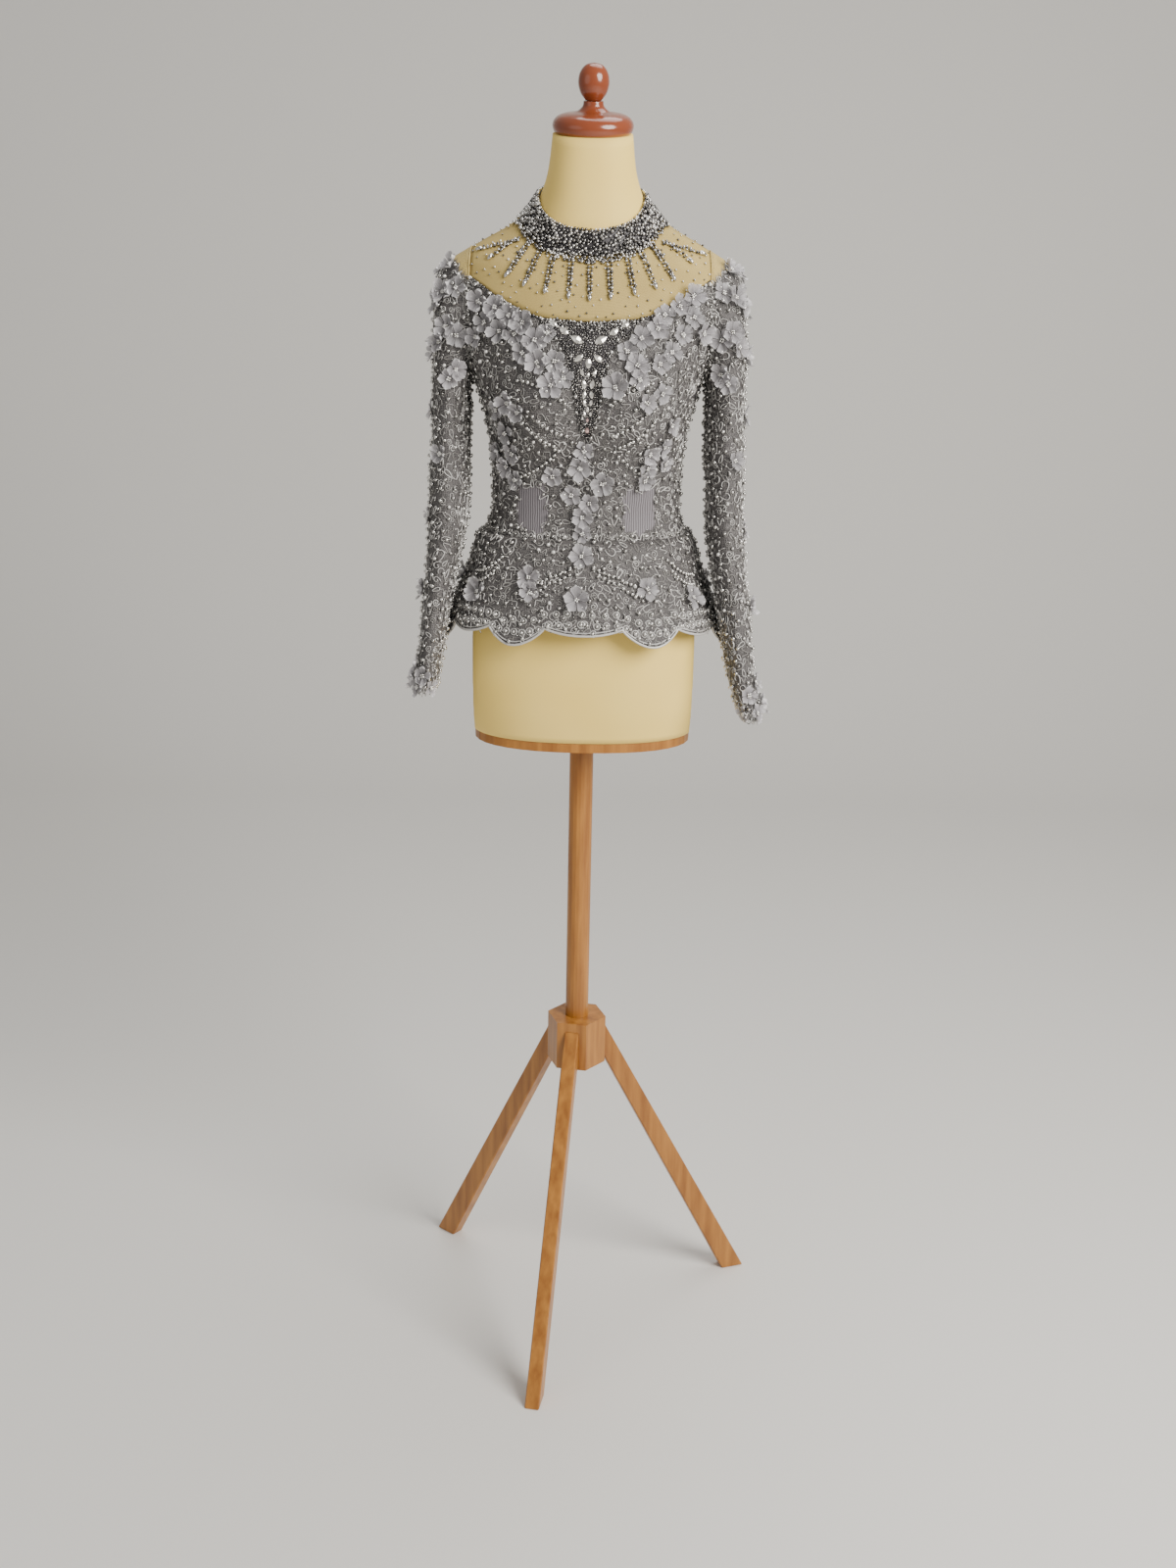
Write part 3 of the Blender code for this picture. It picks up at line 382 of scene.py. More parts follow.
def grid_mesh(name, outer, inner, around=False):
    """A thin closed wall from an outer and an inner grid of points."""
    rows, columns = outer.shape[:2]
    points = np.vstack([outer.reshape(-1, 3), inner.reshape(-1, 3)])
    spans = columns if around else columns - 1
    row, column = np.meshgrid(np.arange(rows - 1), np.arange(spans), indexing="ij")
    beside = (column + 1) % columns
    corners = [row * columns + column, row * columns + beside]
    corners += [(row + 1) * columns + beside, (row + 1) * columns + column]
    face = np.stack(corners, -1).reshape(-1, 4)
    size = rows * columns
    faces = [face, face[:, ::-1] + size]
    step = np.arange(spans)
    after = (step + 1) % columns
    for start, turned in ((0, False), ((rows - 1) * columns, True)):
        rim = np.stack([start + after, start + step, start + step + size, start + after + size], -1)
        faces.append(rim[:, ::-1] if turned else rim)
    if not around:
        step = np.arange(rows - 1) * columns
        for start, turned in ((0, False), (columns - 1, True)):
            low, high = step + start, step + columns + start
            rim = np.stack([low, high, high + size, low + size], -1)
            faces.append(rim[:, ::-1] if turned else rim)
    data = bpy.data.meshes.new(name)
    data.from_pydata(points.tolist(), [], np.vstack(faces).tolist())
    mesh = bmesh.new()
    mesh.from_mesh(data)
    bmesh.ops.recalc_face_normals(mesh, faces=mesh.faces)
    if mesh.calc_volume(signed=True) < 0:
        bmesh.ops.reverse_faces(mesh, faces=mesh.faces)
    mesh.to_mesh(data)
    mesh.free()
    data.shade_smooth()
    item = bpy.data.objects.new(name, data)
    bpy.context.scene.collection.objects.link(item)
    mark(item, "lining_side", np.repeat([0.0, 1.0], size))
    return item


def bodice_grids(face, low_side, high_side, columns, rows):
    """Turns, heights and seam ends of a bodice panel."""
    side = np.linspace(low_side, high_side, columns + 1)[None, :]
    share = np.linspace(0, 1, rows + 1)[:, None]
    boat_edge = edge_turn(boat_height(ARMHOLE_X, face))
    high = np.full(side.shape, float(boat_height(0.0, face)))
    for _ in range(6):
        high = boat_height(figure_point(np.abs(side) * boat_edge, high)[..., 0], face)
    high = high - BOAT_SEAM_GAP / 2
    side_high = float(boat_height(ARMHOLE_X, face))
    row_edge = edge_turn(WAIST_SEAM + (side_high - WAIST_SEAM) * share)
    height = WAIST_SEAM + (high - WAIST_SEAM) * share
    return facing_turn(side * row_edge, face), height, side


def make_bodice():
    made = []
    for name, face, low, high, columns in (
        ("bodice_front", "front", -1, 1, BODICE_COLUMNS),
        ("bodice_back_left", "back", 0, 1, BODICE_COLUMNS // 2),
        ("bodice_back_right", "back", -1, 0, BODICE_COLUMNS // 2),
    ):
        turn, height, side = bodice_grids(face, low, high, columns, BODICE_ROWS)
        grids = []
        for lift in (CLOTH_LIFT + CLOTH_WALL, CLOTH_LIFT):
            points = figure_lifted(turn, height, lift)
            half_gap = SEAM_GAP / 2 if face == "back" else -SEAM_GAP / 2
            points[..., 1] += np.where(np.abs(side) > 0.9999, half_gap, 0.0)
            if face == "back":
                points[..., 0] += np.where(side == 0, math.copysign(SEAM_GAP / 2, low + high), 0.0)
            grids.append(points)
        made.append(grid_mesh("cloth_" + name, grids[0], grids[1]))
    return made


def yoke_columns(face, along_neck, on_shoulder):
    """Columns of a half yoke: along the neckline, then down the shoulder seam."""
    turn = facing_turn(np.linspace(0, math.pi / 2, along_neck + 1), face)
    ring = NECK_RING - SEAM_GAP / 2
    x = np.abs(figure_point(turn, ring)[..., 0])
    tip = height_of_width(ARMHOLE_EDGE_X, *ARMHOLE_TOP_RANGE)
    down = NECK_RING + (tip - NECK_RING) * np.arange(1, on_shoulder + 1) / on_shoulder
    x = np.concatenate([x, FIGURE_TABLE.read(down)[0]])
    high = np.concatenate([np.full(along_neck + 1, ring), down])
    seam = np.concatenate([np.arange(along_neck + 1) == along_neck, np.ones(on_shoulder, bool)])
    return x, high, seam


def yoke_surface(face, x, high, share):
    low = boat_height(x, face) + BOAT_SEAM_GAP / 2
    ease = np.minimum(1.0, x / SHOULDER_EASE_X)
    eased = share * (1 - ease) + np.sin(share * math.pi / 2) * ease
    height = low + (high - low) * eased
    return turn_at(x, height), height


def make_yokes():
    made = []
    for name, face, hands in (
        ("yoke_front", "front", (-1, 1)),
        ("yoke_back_left", "back", (1,)),
        ("yoke_back_right", "back", (-1,)),
    ):
        x, high, seam = yoke_columns(face, YOKE_NECK_COLUMNS, YOKE_SHOULDER_COLUMNS)
        hand = np.full(x.shape, float(hands[-1]))
        if len(hands) == 2:
            x = np.concatenate([x[:0:-1], x])
            high = np.concatenate([high[:0:-1], high])
            seam = np.concatenate([seam[:0:-1], seam])
            hand = np.concatenate([-hand[:0:-1], hand])
        share = np.linspace(0, 1, YOKE_ROWS)[:, None]
        turn, height = yoke_surface(face, x[None, :], high[None, :], share)
        turn = facing_turn(turn * hand[None, :], face)
        top_seam = (share == 1.0) & seam[None, :]
        centre_back = (x[None, :] < SEAM_GAP) & (face == "back") & (share >= 0)
        grids = []
        for lift in (CLOTH_LIFT + CLOTH_WALL, CLOTH_LIFT):
            points = figure_lifted(turn, height, lift)
            half_gap = SEAM_GAP / 2 if face == "back" else -SEAM_GAP / 2
            points[..., 1] += np.where(top_seam, half_gap, 0.0)
            points[..., 0] += np.where(centre_back, hand[None, :] * SEAM_GAP / 2, 0.0)
            grids.append(points)
        made.append(grid_mesh("cloth_" + name, grids[0], grids[1]))
    return made


def make_collar():
    turn = np.linspace(-math.pi, math.pi, COLLAR_COLUMNS)[None, :]
    low = NECK_RING + SEAM_GAP / 2
    height = np.linspace(low, COLLAR_TOP_RING, COLLAR_ROWS)[:, None]
    grids = []
    for lift in (CLOTH_LIFT + COLLAR_WALL, CLOTH_LIFT):
        points = figure_lifted(turn, height, lift)
        points[:, 0, 0] -= SEAM_GAP
        points[:, -1, 0] += SEAM_GAP
        grids.append(points)
    return grid_mesh("cloth_collar", grids[0], grids[1])


def make_peplum():
    made = []
    down = np.concatenate([np.linspace(0, 0.2, 7)[:-1], np.linspace(0.2, 1.0, 17)])[:, None]
    for name, start, end, columns in (
        ("peplum_front", -math.pi / 2, math.pi / 2, PEPLUM_COLUMNS),
        ("peplum_back_left", math.pi / 2, math.pi, PEPLUM_COLUMNS // 2),
        ("peplum_back_right", math.pi, 3 * math.pi / 2, PEPLUM_COLUMNS // 2),
    ):
        turn = np.linspace(start, end, columns + 1)[None, :]
        grids = []
        for lift in (CLOTH_LIFT + CLOTH_WALL, CLOTH_LIFT):
            points = peplum_point(turn, down, lift)
            for column, sign in ((0, 1), (-1, -1)):
                angle = turn[0, column]
                points[:, column, 0] += math.cos(angle) * sign * SEAM_GAP / 2
                points[:, column, 1] += math.sin(angle) * sign * SEAM_GAP / 2
            grids.append(points)
        made.append(grid_mesh("cloth_" + name, grids[0], grids[1]))
    return made


def make_sleeves():
    made = []
    turn = turns_round(SLEEVE_COLUMNS)[None, :]
    section = np.linspace(0, LAST_SECTION, SLEEVE_ROWS)[:, None]
    for name, hand in (("sleeve_left", 1), ("sleeve_right", -1)):
        outer = sleeve_point(hand, turn, section, CLOTH_WALL)
        inner = sleeve_point(hand, turn, section, 0.0)
        made.append(grid_mesh("cloth_" + name, outer, inner, around=True))
    return made


def make_form():
    """The padded torso, finer than in the solid part."""
    edge_x = ARMHOLE_EDGE_X - FORM_INSET
    even = np.linspace(FIGURE[0][0], FIGURE[-1][0], FORM_ROWS)
    height = np.unique(np.concatenate([even, [NECK_RING]]))
    turn = turns_round(FORM_COLUMNS)
    inset = np.where(height > NECK_RING, FORM_INSET_AT_NECK, FORM_INSET)[:, None]
    points = figure_point(turn[None, :], height[:, None])
    points -= outward(figure_point, turn[None, :], height[:, None]) * inset[..., None]
    points[..., 0] = np.clip(points[..., 0], -edge_x, edge_x)
    mesh = bmesh.new()
    join_rings(mesh, [[mesh.verts.new(point) for point in ring] for ring in points])
    bmesh.ops.recalc_face_normals(mesh, faces=mesh.faces)
    return bmesh_object("cover_form", mesh)


def bmesh_object(name, mesh, smooth=True):
    data = bpy.data.meshes.new(name)
    mesh.to_mesh(data)
    mesh.free()
    if smooth:
        data.shade_smooth()
    item = bpy.data.objects.new(name, data)
    bpy.context.scene.collection.objects.link(item)
    return item


def make_turned(name, profile, foot_height):
    """A turned piece on the tilted axis of the cap."""
    rounded = Table([(number, *row) for number, row in enumerate(profile)])
    share = np.linspace(0, len(profile) - 1, 4 * (len(profile) - 1) + 1)
    radius, height = rounded.read(share)
    mesh = bmesh.new()
    rings = []
    for around in range(TURNED_STEPS):
        turn = 2 * math.pi * around / TURNED_STEPS
        ring = [(r * math.cos(turn), r * math.sin(turn), z) for r, z in zip(radius, height)]
        rings.append([mesh.verts.new(point) for point in ring])
    for near, far in zip(rings, rings[1:] + rings[:1]):
        for step in range(len(near) - 1):
            mesh.faces.new((near[step], far[step], far[step + 1], near[step + 1]))
    bmesh.ops.remove_doubles(mesh, verts=mesh.verts, dist=0.00001)
    bmesh.ops.recalc_face_normals(mesh, faces=mesh.faces)
    tilt = Matrix.Rotation(CAP_TILT, 4, "X")
    seat = Vector((0.0, FIGURE[-1][4], FIGURE[-1][0]))
    bmesh.ops.transform(mesh, matrix=tilt @ Matrix.Translation((0, 0, foot_height)), verts=mesh.verts)
    bmesh.ops.translate(mesh, vec=seat, verts=mesh.verts)
    return bmesh_object(name, mesh)


# Sewn-on work
PETALS = 5
HEART_BEADS = 4
SCROLLS = 5
SCROLL_POINTS = 12
RING_POINTS = 12
CORD_SHADE = 0.62
PANELS = ("front", "back_left", "back_right")
PANELLED = ("yoke", "bodice", "peplum")
REGIONS = ("collar", "yoke", "bodice", "peplum", "sleeve_left", "sleeve_right")


class Bed:
    """A cloth surface that work is sewn on to, given by two values."""

    def __init__(self, surface, sign=1.0):
        self.surface = surface
        self.sign = sign

    def facing(self, across, up):
        return outward(self.surface, across, up) * self.sign

    def at(self, across, up, above=0.0):
        return self.surface(across, up) + self.facing(across, up) * above


FIGURE_BED = Bed(lambda turn, height: figure_lifted(turn, height, CLOTH_LIFT + CLOTH_WALL))
COLLAR_BED = Bed(lambda turn, height: figure_lifted(turn, height, CLOTH_LIFT + COLLAR_WALL))
PEPLUM_BED = Bed(peplum_point, -1.0)
SLEEVE_BEDS = {
    1: Bed(lambda turn, section: sleeve_point(1, turn, section), 1.0),
    -1: Bed(lambda turn, section: sleeve_point(-1, turn, section), -1.0),
}


class SetOut:
    """Places on the cloth where one kind of piece is repeated, with the way each faces."""

    def __init__(self, seed):
        self.random = np.random.default_rng(seed)
        self.places = []

    def keep_places(self, point, facing, size, spin, shade, across):
        self.places.append((point, facing, size, spin, shade, across))

    def add(self, bed, across, up, above=0.0, size=1.0, spin=None, shade=None):
        across = np.atleast_1d(np.asarray(across, float))
        up = np.broadcast_to(np.asarray(up, float), across.shape)
        count = len(across)
        facing = bed.facing(across, up)
        point = bed.surface(across, up) + facing * np.reshape(above, (-1, 1))
        if spin is None:
            spin = self.random.uniform(0, 2 * math.pi, count)
        if shade is None:
            shade = self.random.uniform(0, 1, count)
        size = np.broadcast_to(np.asarray(size, float), (count,))
        spin = np.broadcast_to(np.asarray(spin, float), (count,))
        shade = np.broadcast_to(np.asarray(shade, float), (count,))
        self.keep_places(point, facing, size, spin, shade, across)

    def joined(self, panel):
        """Everything set out on one panel: "" is the whole of a tube or band."""
        columns = [np.concatenate(column) for column in zip(*self.places)] if self.places else []
        if columns and panel:
            sine, cosine = np.sin(columns[-1]), np.cos(columns[-1])
            on_panel = {
                "front": cosine >= 0,
                "back_left": (cosine < 0) & (sine >= 0),
                "back_right": (cosine < 0) & (sine < 0),
            }[panel]
            columns = [column[on_panel] for column in columns]
        return columns[:-1]


def turned_angles(facing, spin):
    """Euler angles whose Z faces out and whose Y points up the cloth, turned by spin."""
    up = np.array([0.0, 0.0, 1.0])
    across = np.cross(up, facing)
    flat = np.linalg.norm(across, axis=1) < 1e-4
    across[flat] = (1.0, 0.0, 0.0)
    across /= np.linalg.norm(across, axis=1, keepdims=True)
    rise = np.cross(facing, across)
    x = across * np.cos(spin)[:, None] + rise * np.sin(spin)[:, None]
    y = np.cross(facing, x)
    pitch = np.arcsin(np.clip(-x[:, 2], -1, 1))
    roll = np.arctan2(y[:, 2], facing[:, 2])
    yaw = np.arctan2(x[:, 1], x[:, 0])
    return np.stack([roll, pitch, yaw], 1)


def repeat_tree():
    """The geometry tree that repeats one piece at every point of a mesh."""
    tree = bpy.data.node_groups.new("repeat_on_points", "GeometryNodeTree")
    face = tree.interface
    face.new_socket("Geometry", in_out="INPUT", socket_type="NodeSocketGeometry")
    face.new_socket("Piece", in_out="INPUT", socket_type="NodeSocketObject")
    face.new_socket("Finish", in_out="INPUT", socket_type="NodeSocketMaterial")
    face.new_socket("Size spread", in_out="INPUT", socket_type="NodeSocketFloat")
    face.new_socket("Seed", in_out="INPUT", socket_type="NodeSocketInt")
    face.new_socket("Geometry", in_out="OUTPUT", socket_type="NodeSocketGeometry")
    nodes, link = tree.nodes, tree.links.new
    given = nodes.new("NodeGroupInput").outputs
    piece = nodes.new("GeometryNodeObjectInfo")
    link(given["Piece"], piece.inputs["Object"])
    angles = nodes.new("GeometryNodeInputNamedAttribute")
    angles.data_type = "FLOAT_VECTOR"
    angles.inputs["Name"].default_value = "angles"
    rotation = nodes.new("FunctionNodeEulerToRotation")
    link(angles.outputs["Attribute"], rotation.inputs[0])
    size = nodes.new("GeometryNodeInputNamedAttribute")
    size.data_type = "FLOAT"
    size.inputs["Name"].default_value = "size"
    spread = nodes.new("FunctionNodeRandomValue")
    spread.data_type = "FLOAT"
    floats = [socket for socket in spread.inputs if socket.type == "VALUE"]
    below = nodes.new("ShaderNodeMath")
    below.operation = "SUBTRACT"
    below.inputs[0].default_value = 1.0
    link(given["Size spread"], below.inputs[1])
    link(below.outputs[0], floats[0])
    floats[1].default_value = 1.0
    link(given["Seed"], spread.inputs["Seed"])
    scale = nodes.new("ShaderNodeMath")
    scale.operation = "MULTIPLY"
    link(size.outputs["Attribute"], scale.inputs[0])
    value = [socket for socket in spread.outputs if socket.type == "VALUE"][0]
    link(value, scale.inputs[1])
    place = nodes.new("GeometryNodeInstanceOnPoints")
    link(given["Geometry"], place.inputs["Points"])
    link(piece.outputs["Geometry"], place.inputs["Instance"])
    link(rotation.outputs[0], place.inputs["Rotation"])
    link(scale.outputs[0], place.inputs["Scale"])
    realize = nodes.new("GeometryNodeRealizeInstances")
    link(place.outputs["Instances"], realize.inputs["Geometry"])
    material = nodes.new("GeometryNodeSetMaterial")
    link(realize.outputs["Geometry"], material.inputs["Geometry"])
    link(given["Finish"], material.inputs["Material"])
    result = nodes.new("NodeGroupOutput")
    link(material.outputs["Geometry"], result.inputs[0])
    return tree


def repeated(name, tree, places, piece, material, spread=0.0, seed=1):
    """Make one mesh of a piece repeated at the places given."""
    point, facing, size, spin, shade = places
    data = bpy.data.meshes.new(name)
    data.from_pydata(point.tolist(), [], [])
    angles = data.attributes.new("angles", "FLOAT_VECTOR", "POINT")
    angles.data.foreach_set("vector", turned_angles(facing, spin).astype(np.float32).ravel())
    item = bpy.data.objects.new(name, data)
    bpy.context.scene.collection.objects.link(item)
    mark(item, "size", size)
    mark(item, "shade", shade)
    modifier = item.modifiers.new("repeat", "NODES")
    modifier.node_group = tree
    given = {"Piece": piece, "Finish": material, "Size spread": spread, "Seed": seed}
    for socket in tree.interface.items_tree:
        if socket.in_out == "INPUT" and socket.name in given:
            modifier[socket.identifier] = given[socket.name]
    bpy.context.view_layer.update()
    view = bpy.context.evaluated_depsgraph_get()
    made = bpy.data.meshes.new_from_object(item.evaluated_get(view))
    item.modifiers.clear()
    item.data = made
    for spare in ("angles", "size"):
        found = made.attributes.get(spare)
        if found:
            made.attributes.remove(found)
    made.name = name
    return item


def cell_areas(bed, across, up):
    points = bed.surface(across[None, :], up[:, None])
    a = points[:-1, 1:] - points[:-1, :-1]
    b = points[1:, :-1] - points[:-1, :-1]
    return np.linalg.norm(np.cross(a, b), axis=-1)


def scatter(bed, across_range, up_range, spacing, seed, keep=None, fill=2.4):
    """Random places on a bed, none nearer to another than the spacing."""
    random = np.random.default_rng(seed)
    across = np.linspace(*across_range, 61)
    up = np.linspace(*up_range, 41)
    areas = cell_areas(bed, across, up)
    count = int(areas.sum() / spacing**2 * fill)
    picked = random.choice(areas.size, count, p=(areas / areas.sum()).ravel())
    row, column = np.divmod(picked, areas.shape[1])
    a = across[column] + random.uniform(0, 1, count) * (across[1] - across[0])
    b = up[row] + random.uniform(0, 1, count) * (up[1] - up[0])
    if keep is not None:
        kept = keep(a, b)
        a, b = a[kept], b[kept]
    points = bed.surface(a, b)
    cells = {}
    chosen = []
    for number, point in enumerate(points):
        home = tuple((point // spacing).astype(int))
        near = False
        for i in (-1, 0, 1):
            for j in (-1, 0, 1):
                for k in (-1, 0, 1):
                    for other in cells.get((home[0] + i, home[1] + j, home[2] + k), ()):
                        gap = point - points[other]
                        if gap @ gap < spacing * spacing:
                            near = True
        if not near:
            cells.setdefault(home, []).append(number)
            chosen.append(number)
    return a[chosen], b[chosen]


def template(name, mesh, smooth=True):
    """A piece that the tree repeats. It isn't shown itself."""
    item = bmesh_object(name, mesh, smooth)
    item.hide_render = True
    return item


def bead_template(name, sides, bands):
    mesh = bmesh.new()
    bmesh.ops.create_uvsphere(mesh, u_segments=sides, v_segments=bands, radius=1.0)
    return template(name, mesh)


def join_rings(mesh, rings, closed=False):
    """Join rings of points into a tube, with flat ends unless it closes on itself."""
    count = len(rings[0])
    pairs = list(zip(rings, rings[1:]))
    if closed:
        pairs.append((rings[-1], rings[0]))
    for near, far in pairs:
        for side in range(count):
            beside = (side + 1) % count
            mesh.faces.new((near[side], near[beside], far[beside], far[side]))
    if not closed:
        mesh.faces.new(rings[0])
        mesh.faces.new(rings[-1])


def lathe_template(name, profile, sides, flat_share=1.0, smooth=True):
    """A turned bead or stone about its own X axis, flattened across its Z."""
    mesh = bmesh.new()
    rings = []
    for along, radius in profile:
        ring = []
        for side in range(sides):
            turn = 2 * math.pi * side / sides
            point = (along, radius * math.cos(turn), radius * math.sin(turn) * flat_share)
            ring.append(mesh.verts.new(point))
        rings.append(ring)
    join_rings(mesh, rings)
    bmesh.ops.recalc_face_normals(mesh, faces=mesh.faces)
    return template(name, mesh, smooth)


def flower_template(name, twist, rise, ruffle_size):
    """A flower of five cupped organza petals, each wide at its end."""
    mesh = bmesh.new()
    rim = mesh.verts.layers.float.new("rim")
    rib = mesh.verts.layers.float.new("rib")
    lengths = (0.05, 0.30, 0.55, 0.78, 0.93, 1.0)
    widths = (0.07, 0.19, 0.34, 0.42, 0.36, 0.15)
    for petal in range(PETALS):
        turn = 2 * math.pi * petal / PETALS + twist
        lean = rise + 0.16 * math.sin(petal * 2.3 + twist * 5)
        high = 0.04 * (petal % 2)
        grid = []
        for length, width in zip(lengths, widths):
            line = []
            for step in range(5):
                across = (step - 2) / 2
                cup = 0.10 * across**2 - 0.05 * (1 - across**2) * length
                ruffle = ruffle_size * math.sin(across * 4.2 + petal * 1.7 + twist) * length
                z = 0.05 + high + lean * length**1.5 + cup + ruffle
                x = length * (1 - 0.16 * across**2 * length + 0.05 * math.sin(petal * 2.9 + twist * 3))
                y = across * width
                point = (x * math.cos(turn) - y * math.sin(turn), x * math.sin(turn) + y * math.cos(turn), z)
                vertex = mesh.verts.new(point)
                # How far out a point lies on its petal: the finish paints light on the petal's rim by it
                vertex[rim] = max(length**2, abs(across) * 0.9 * length)
                vertex[rib] = across
                line.append(vertex)
            grid.append(line)
        for near, far in zip(grid, grid[1:]):
            for step in range(4):
                mesh.faces.new((near[step], far[step], far[step + 1], near[step + 1]))
    return template(name, mesh)


def scroll_lines():
    """Flat lines for the corded scrolls, each about two units across."""
    turns = np.linspace(0, 1, SCROLL_POINTS)
    spiral = turns * 3.3 * math.pi
    radius = 0.16 + 0.84 * turns
    curl = np.stack([radius * np.cos(spiral), radius * np.sin(spiral)], 1)
    ess = np.stack([0.95 * np.sin(turns * 2 * math.pi * 1.15), (turns - 0.5) * 2.2], 1)
    leaf_turn = turns * 2 * math.pi
    leaf = np.stack([np.cos(leaf_turn) * 1.1, 0.42 * np.sin(leaf_turn) * (1 + 0.5 * np.cos(leaf_turn))], 1)
    hook_turn = turns * 1.5 * math.pi
    hook = np.stack([0.8 * np.cos(hook_turn) - 0.2, 0.8 * np.sin(hook_turn)], 1)
    hook[:3] += np.array([[0.5, -0.9], [0.3, -0.5], [0.1, -0.2]])
    wave = np.stack([(turns - 0.5) * 2.6, 0.40 * np.sin(turns * 2.6 * math.pi)], 1)
    return {"curl": curl, "ess": ess, "leaf": leaf, "hook": hook, "wave": wave}


def tube(mesh, line, radius, sides=3, closed=False):
    """Add a thin tube along a line of points, seen from above."""
    count = len(line)
    rings = []
    for number in range(count):
        if closed:
            ahead, behind = line[(number + 1) % count], line[number - 1]
        else:
            ahead, behind = line[min(number + 1, count - 1)], line[max(number - 1, 0)]
        along = Vector(ahead) - Vector(behind)
        along.normalize()
        side = along.cross(Vector((0, 0, 1))).normalized()
        rise = side.cross(along)
        ring = []
        for corner in range(sides):
            turn = 2 * math.pi * corner / sides + math.pi / 2
            offset = side * math.cos(turn) + rise * math.sin(turn)
            ring.append(mesh.verts.new(Vector(line[number]) + offset * radius))
        rings.append(ring)
    join_rings(mesh, rings, closed)


def scroll_templates():
    made = []
    for name, line in scroll_lines().items():
        mesh = bmesh.new()
        tube(mesh, [(x, y, 0.08) for x, y in line], 0.135)
        bmesh.ops.recalc_face_normals(mesh, faces=mesh.faces)
        made.append(template("scroll_" + name, mesh))
    return made


def ring_template():
    mesh = bmesh.new()
    tube(mesh, [(math.cos(t), math.sin(t), 0.08) for t in turns_round(RING_POINTS)], 0.16, closed=True)
    bmesh.ops.recalc_face_normals(mesh, faces=mesh.faces)
    return template("ring", mesh)


# Flowers on the bodice front. Columns: x, height, size
FRONT_FLOWERS = (
    (-0.064, 1.390, 1.05), (-0.061, 1.364, 1.00), (-0.045, 1.338, 1.05), (-0.079, 1.409, 0.95),
    (-0.112, 1.426, 1.00), (-0.132, 1.432, 0.95), (-0.088, 1.396, 0.90), (-0.106, 1.399, 0.95),
    (-0.078, 1.375, 0.90), (-0.041, 1.366, 0.90), (-0.030, 1.347, 0.85), (-0.095, 1.417, 0.90),
    (-0.124, 1.409, 0.90), (-0.134, 1.392, 0.85), (-0.050, 1.398, 0.80),
    (0.062, 1.394, 1.00), (0.058, 1.363, 1.00), (0.033, 1.338, 1.10), (0.061, 1.346, 0.85),
    (0.081, 1.405, 0.95), (0.089, 1.421, 0.90), (0.123, 1.443, 1.00), (0.124, 1.419, 0.95),
    (0.107, 1.431, 0.95), (0.098, 1.379, 0.90), (0.084, 1.365, 0.85), (0.111, 1.399, 0.90),
    (0.070, 1.320, 0.85), (0.087, 1.330, 0.85), (0.136, 1.400, 0.90), (0.046, 1.379, 0.85),
    (-0.094, 1.316, 0.95), (-0.108, 1.306, 0.85), (-0.082, 1.306, 0.85), (-0.097, 1.279, 1.00),
    (-0.107, 1.254, 0.85), (-0.089, 1.254, 0.90), (-0.096, 1.236, 0.85), (-0.086, 1.221, 0.85),
    (0.075, 1.258, 0.85), (0.073, 1.240, 0.85), (0.070, 1.224, 0.80), (0.092, 1.266, 0.85),
    (0.100, 1.292, 0.80), (0.094, 1.244, 0.75),
    (-0.009, 1.240, 1.00), (-0.041, 1.229, 0.90), (0.019, 1.221, 1.05), (-0.018, 1.206, 0.90),
    (-0.004, 1.178, 0.95), (-0.004, 1.262, 0.80), (0.004, 1.196, 0.80), (-0.004, 1.157, 0.80),
)
# Flowers on the bodice back, each side alike. Columns: x, height, size
BACK_FLOWERS = (
    (0.036, 1.398, 1.00), (0.078, 1.400, 1.00), (0.110, 1.418, 0.95), (0.132, 1.436, 0.90),
    (0.056, 1.414, 0.90), (0.056, 1.376, 0.90), (0.094, 1.384, 0.90), (0.048, 1.350, 0.90),
    (0.074, 1.352, 0.85), (0.118, 1.394, 0.85), (0.036, 1.326, 0.85), (0.034, 1.228, 0.95),
    (0.056, 1.240, 0.85), (0.024, 1.204, 0.85), (0.086, 1.290, 0.85), (0.096, 1.262, 0.85),
)
# Columns: turn_degrees, down, size
PEPLUM_FLOWERS = (
    (-1.0, 0.16, 1.05), (-2.0, 0.62, 1.10), (-24.0, 0.36, 0.95), (-22.0, 0.50, 0.80),
    (27.0, 0.45, 1.00), (-52.0, 0.60, 1.10), (53.0, 0.62, 1.05), (-84.0, 0.45, 0.90),
    (84.0, 0.45, 0.90), (112.0, 0.60, 1.00), (-112.0, 0.60, 1.00), (150.0, 0.42, 1.00),
    (-150.0, 0.42, 1.00), (178.0, 0.68, 1.00), (132.0, 0.22, 0.85), (-132.0, 0.22, 0.85),
)
# Columns: section, round_degrees, size. Round is 0 at the outer edge and 90 at the front
SLEEVE_FLOWERS = (
    (0.9, 60.0, 0.90), (1.2, 25.0, 0.95), (1.6, 95.0, 0.95), (1.9, 50.0, 0.95),
    (1.9, 5.0, 0.90), (2.4, 75.0, 0.95), (2.7, 35.0, 0.95), (3.0, 105.0, 0.90),
    (3.1, 8.0, 0.85), (3.4, 62.0, 0.90), (3.9, 90.0, 0.85), (4.2, 30.0, 0.85),
    (5.7, 20.0, 0.90), (6.5, 70.0, 0.80), (8.4, 25.0, 0.80), (10.4, 20.0, 0.95),
    (12.6, 30.0, 0.85), (2.2, -40.0, 0.90), (3.2, -70.0, 0.90), (5.0, -50.0, 0.85),
    (8.0, -90.0, 0.80), (11.0, -70.0, 0.80), (12.9, 80.0, 0.85), (13.5, 16.0, 0.95),
    (13.7, 62.0, 0.90), (13.6, -34.0, 0.90), (13.7, 118.0, 0.80), (13.6, -95.0, 0.80),
)
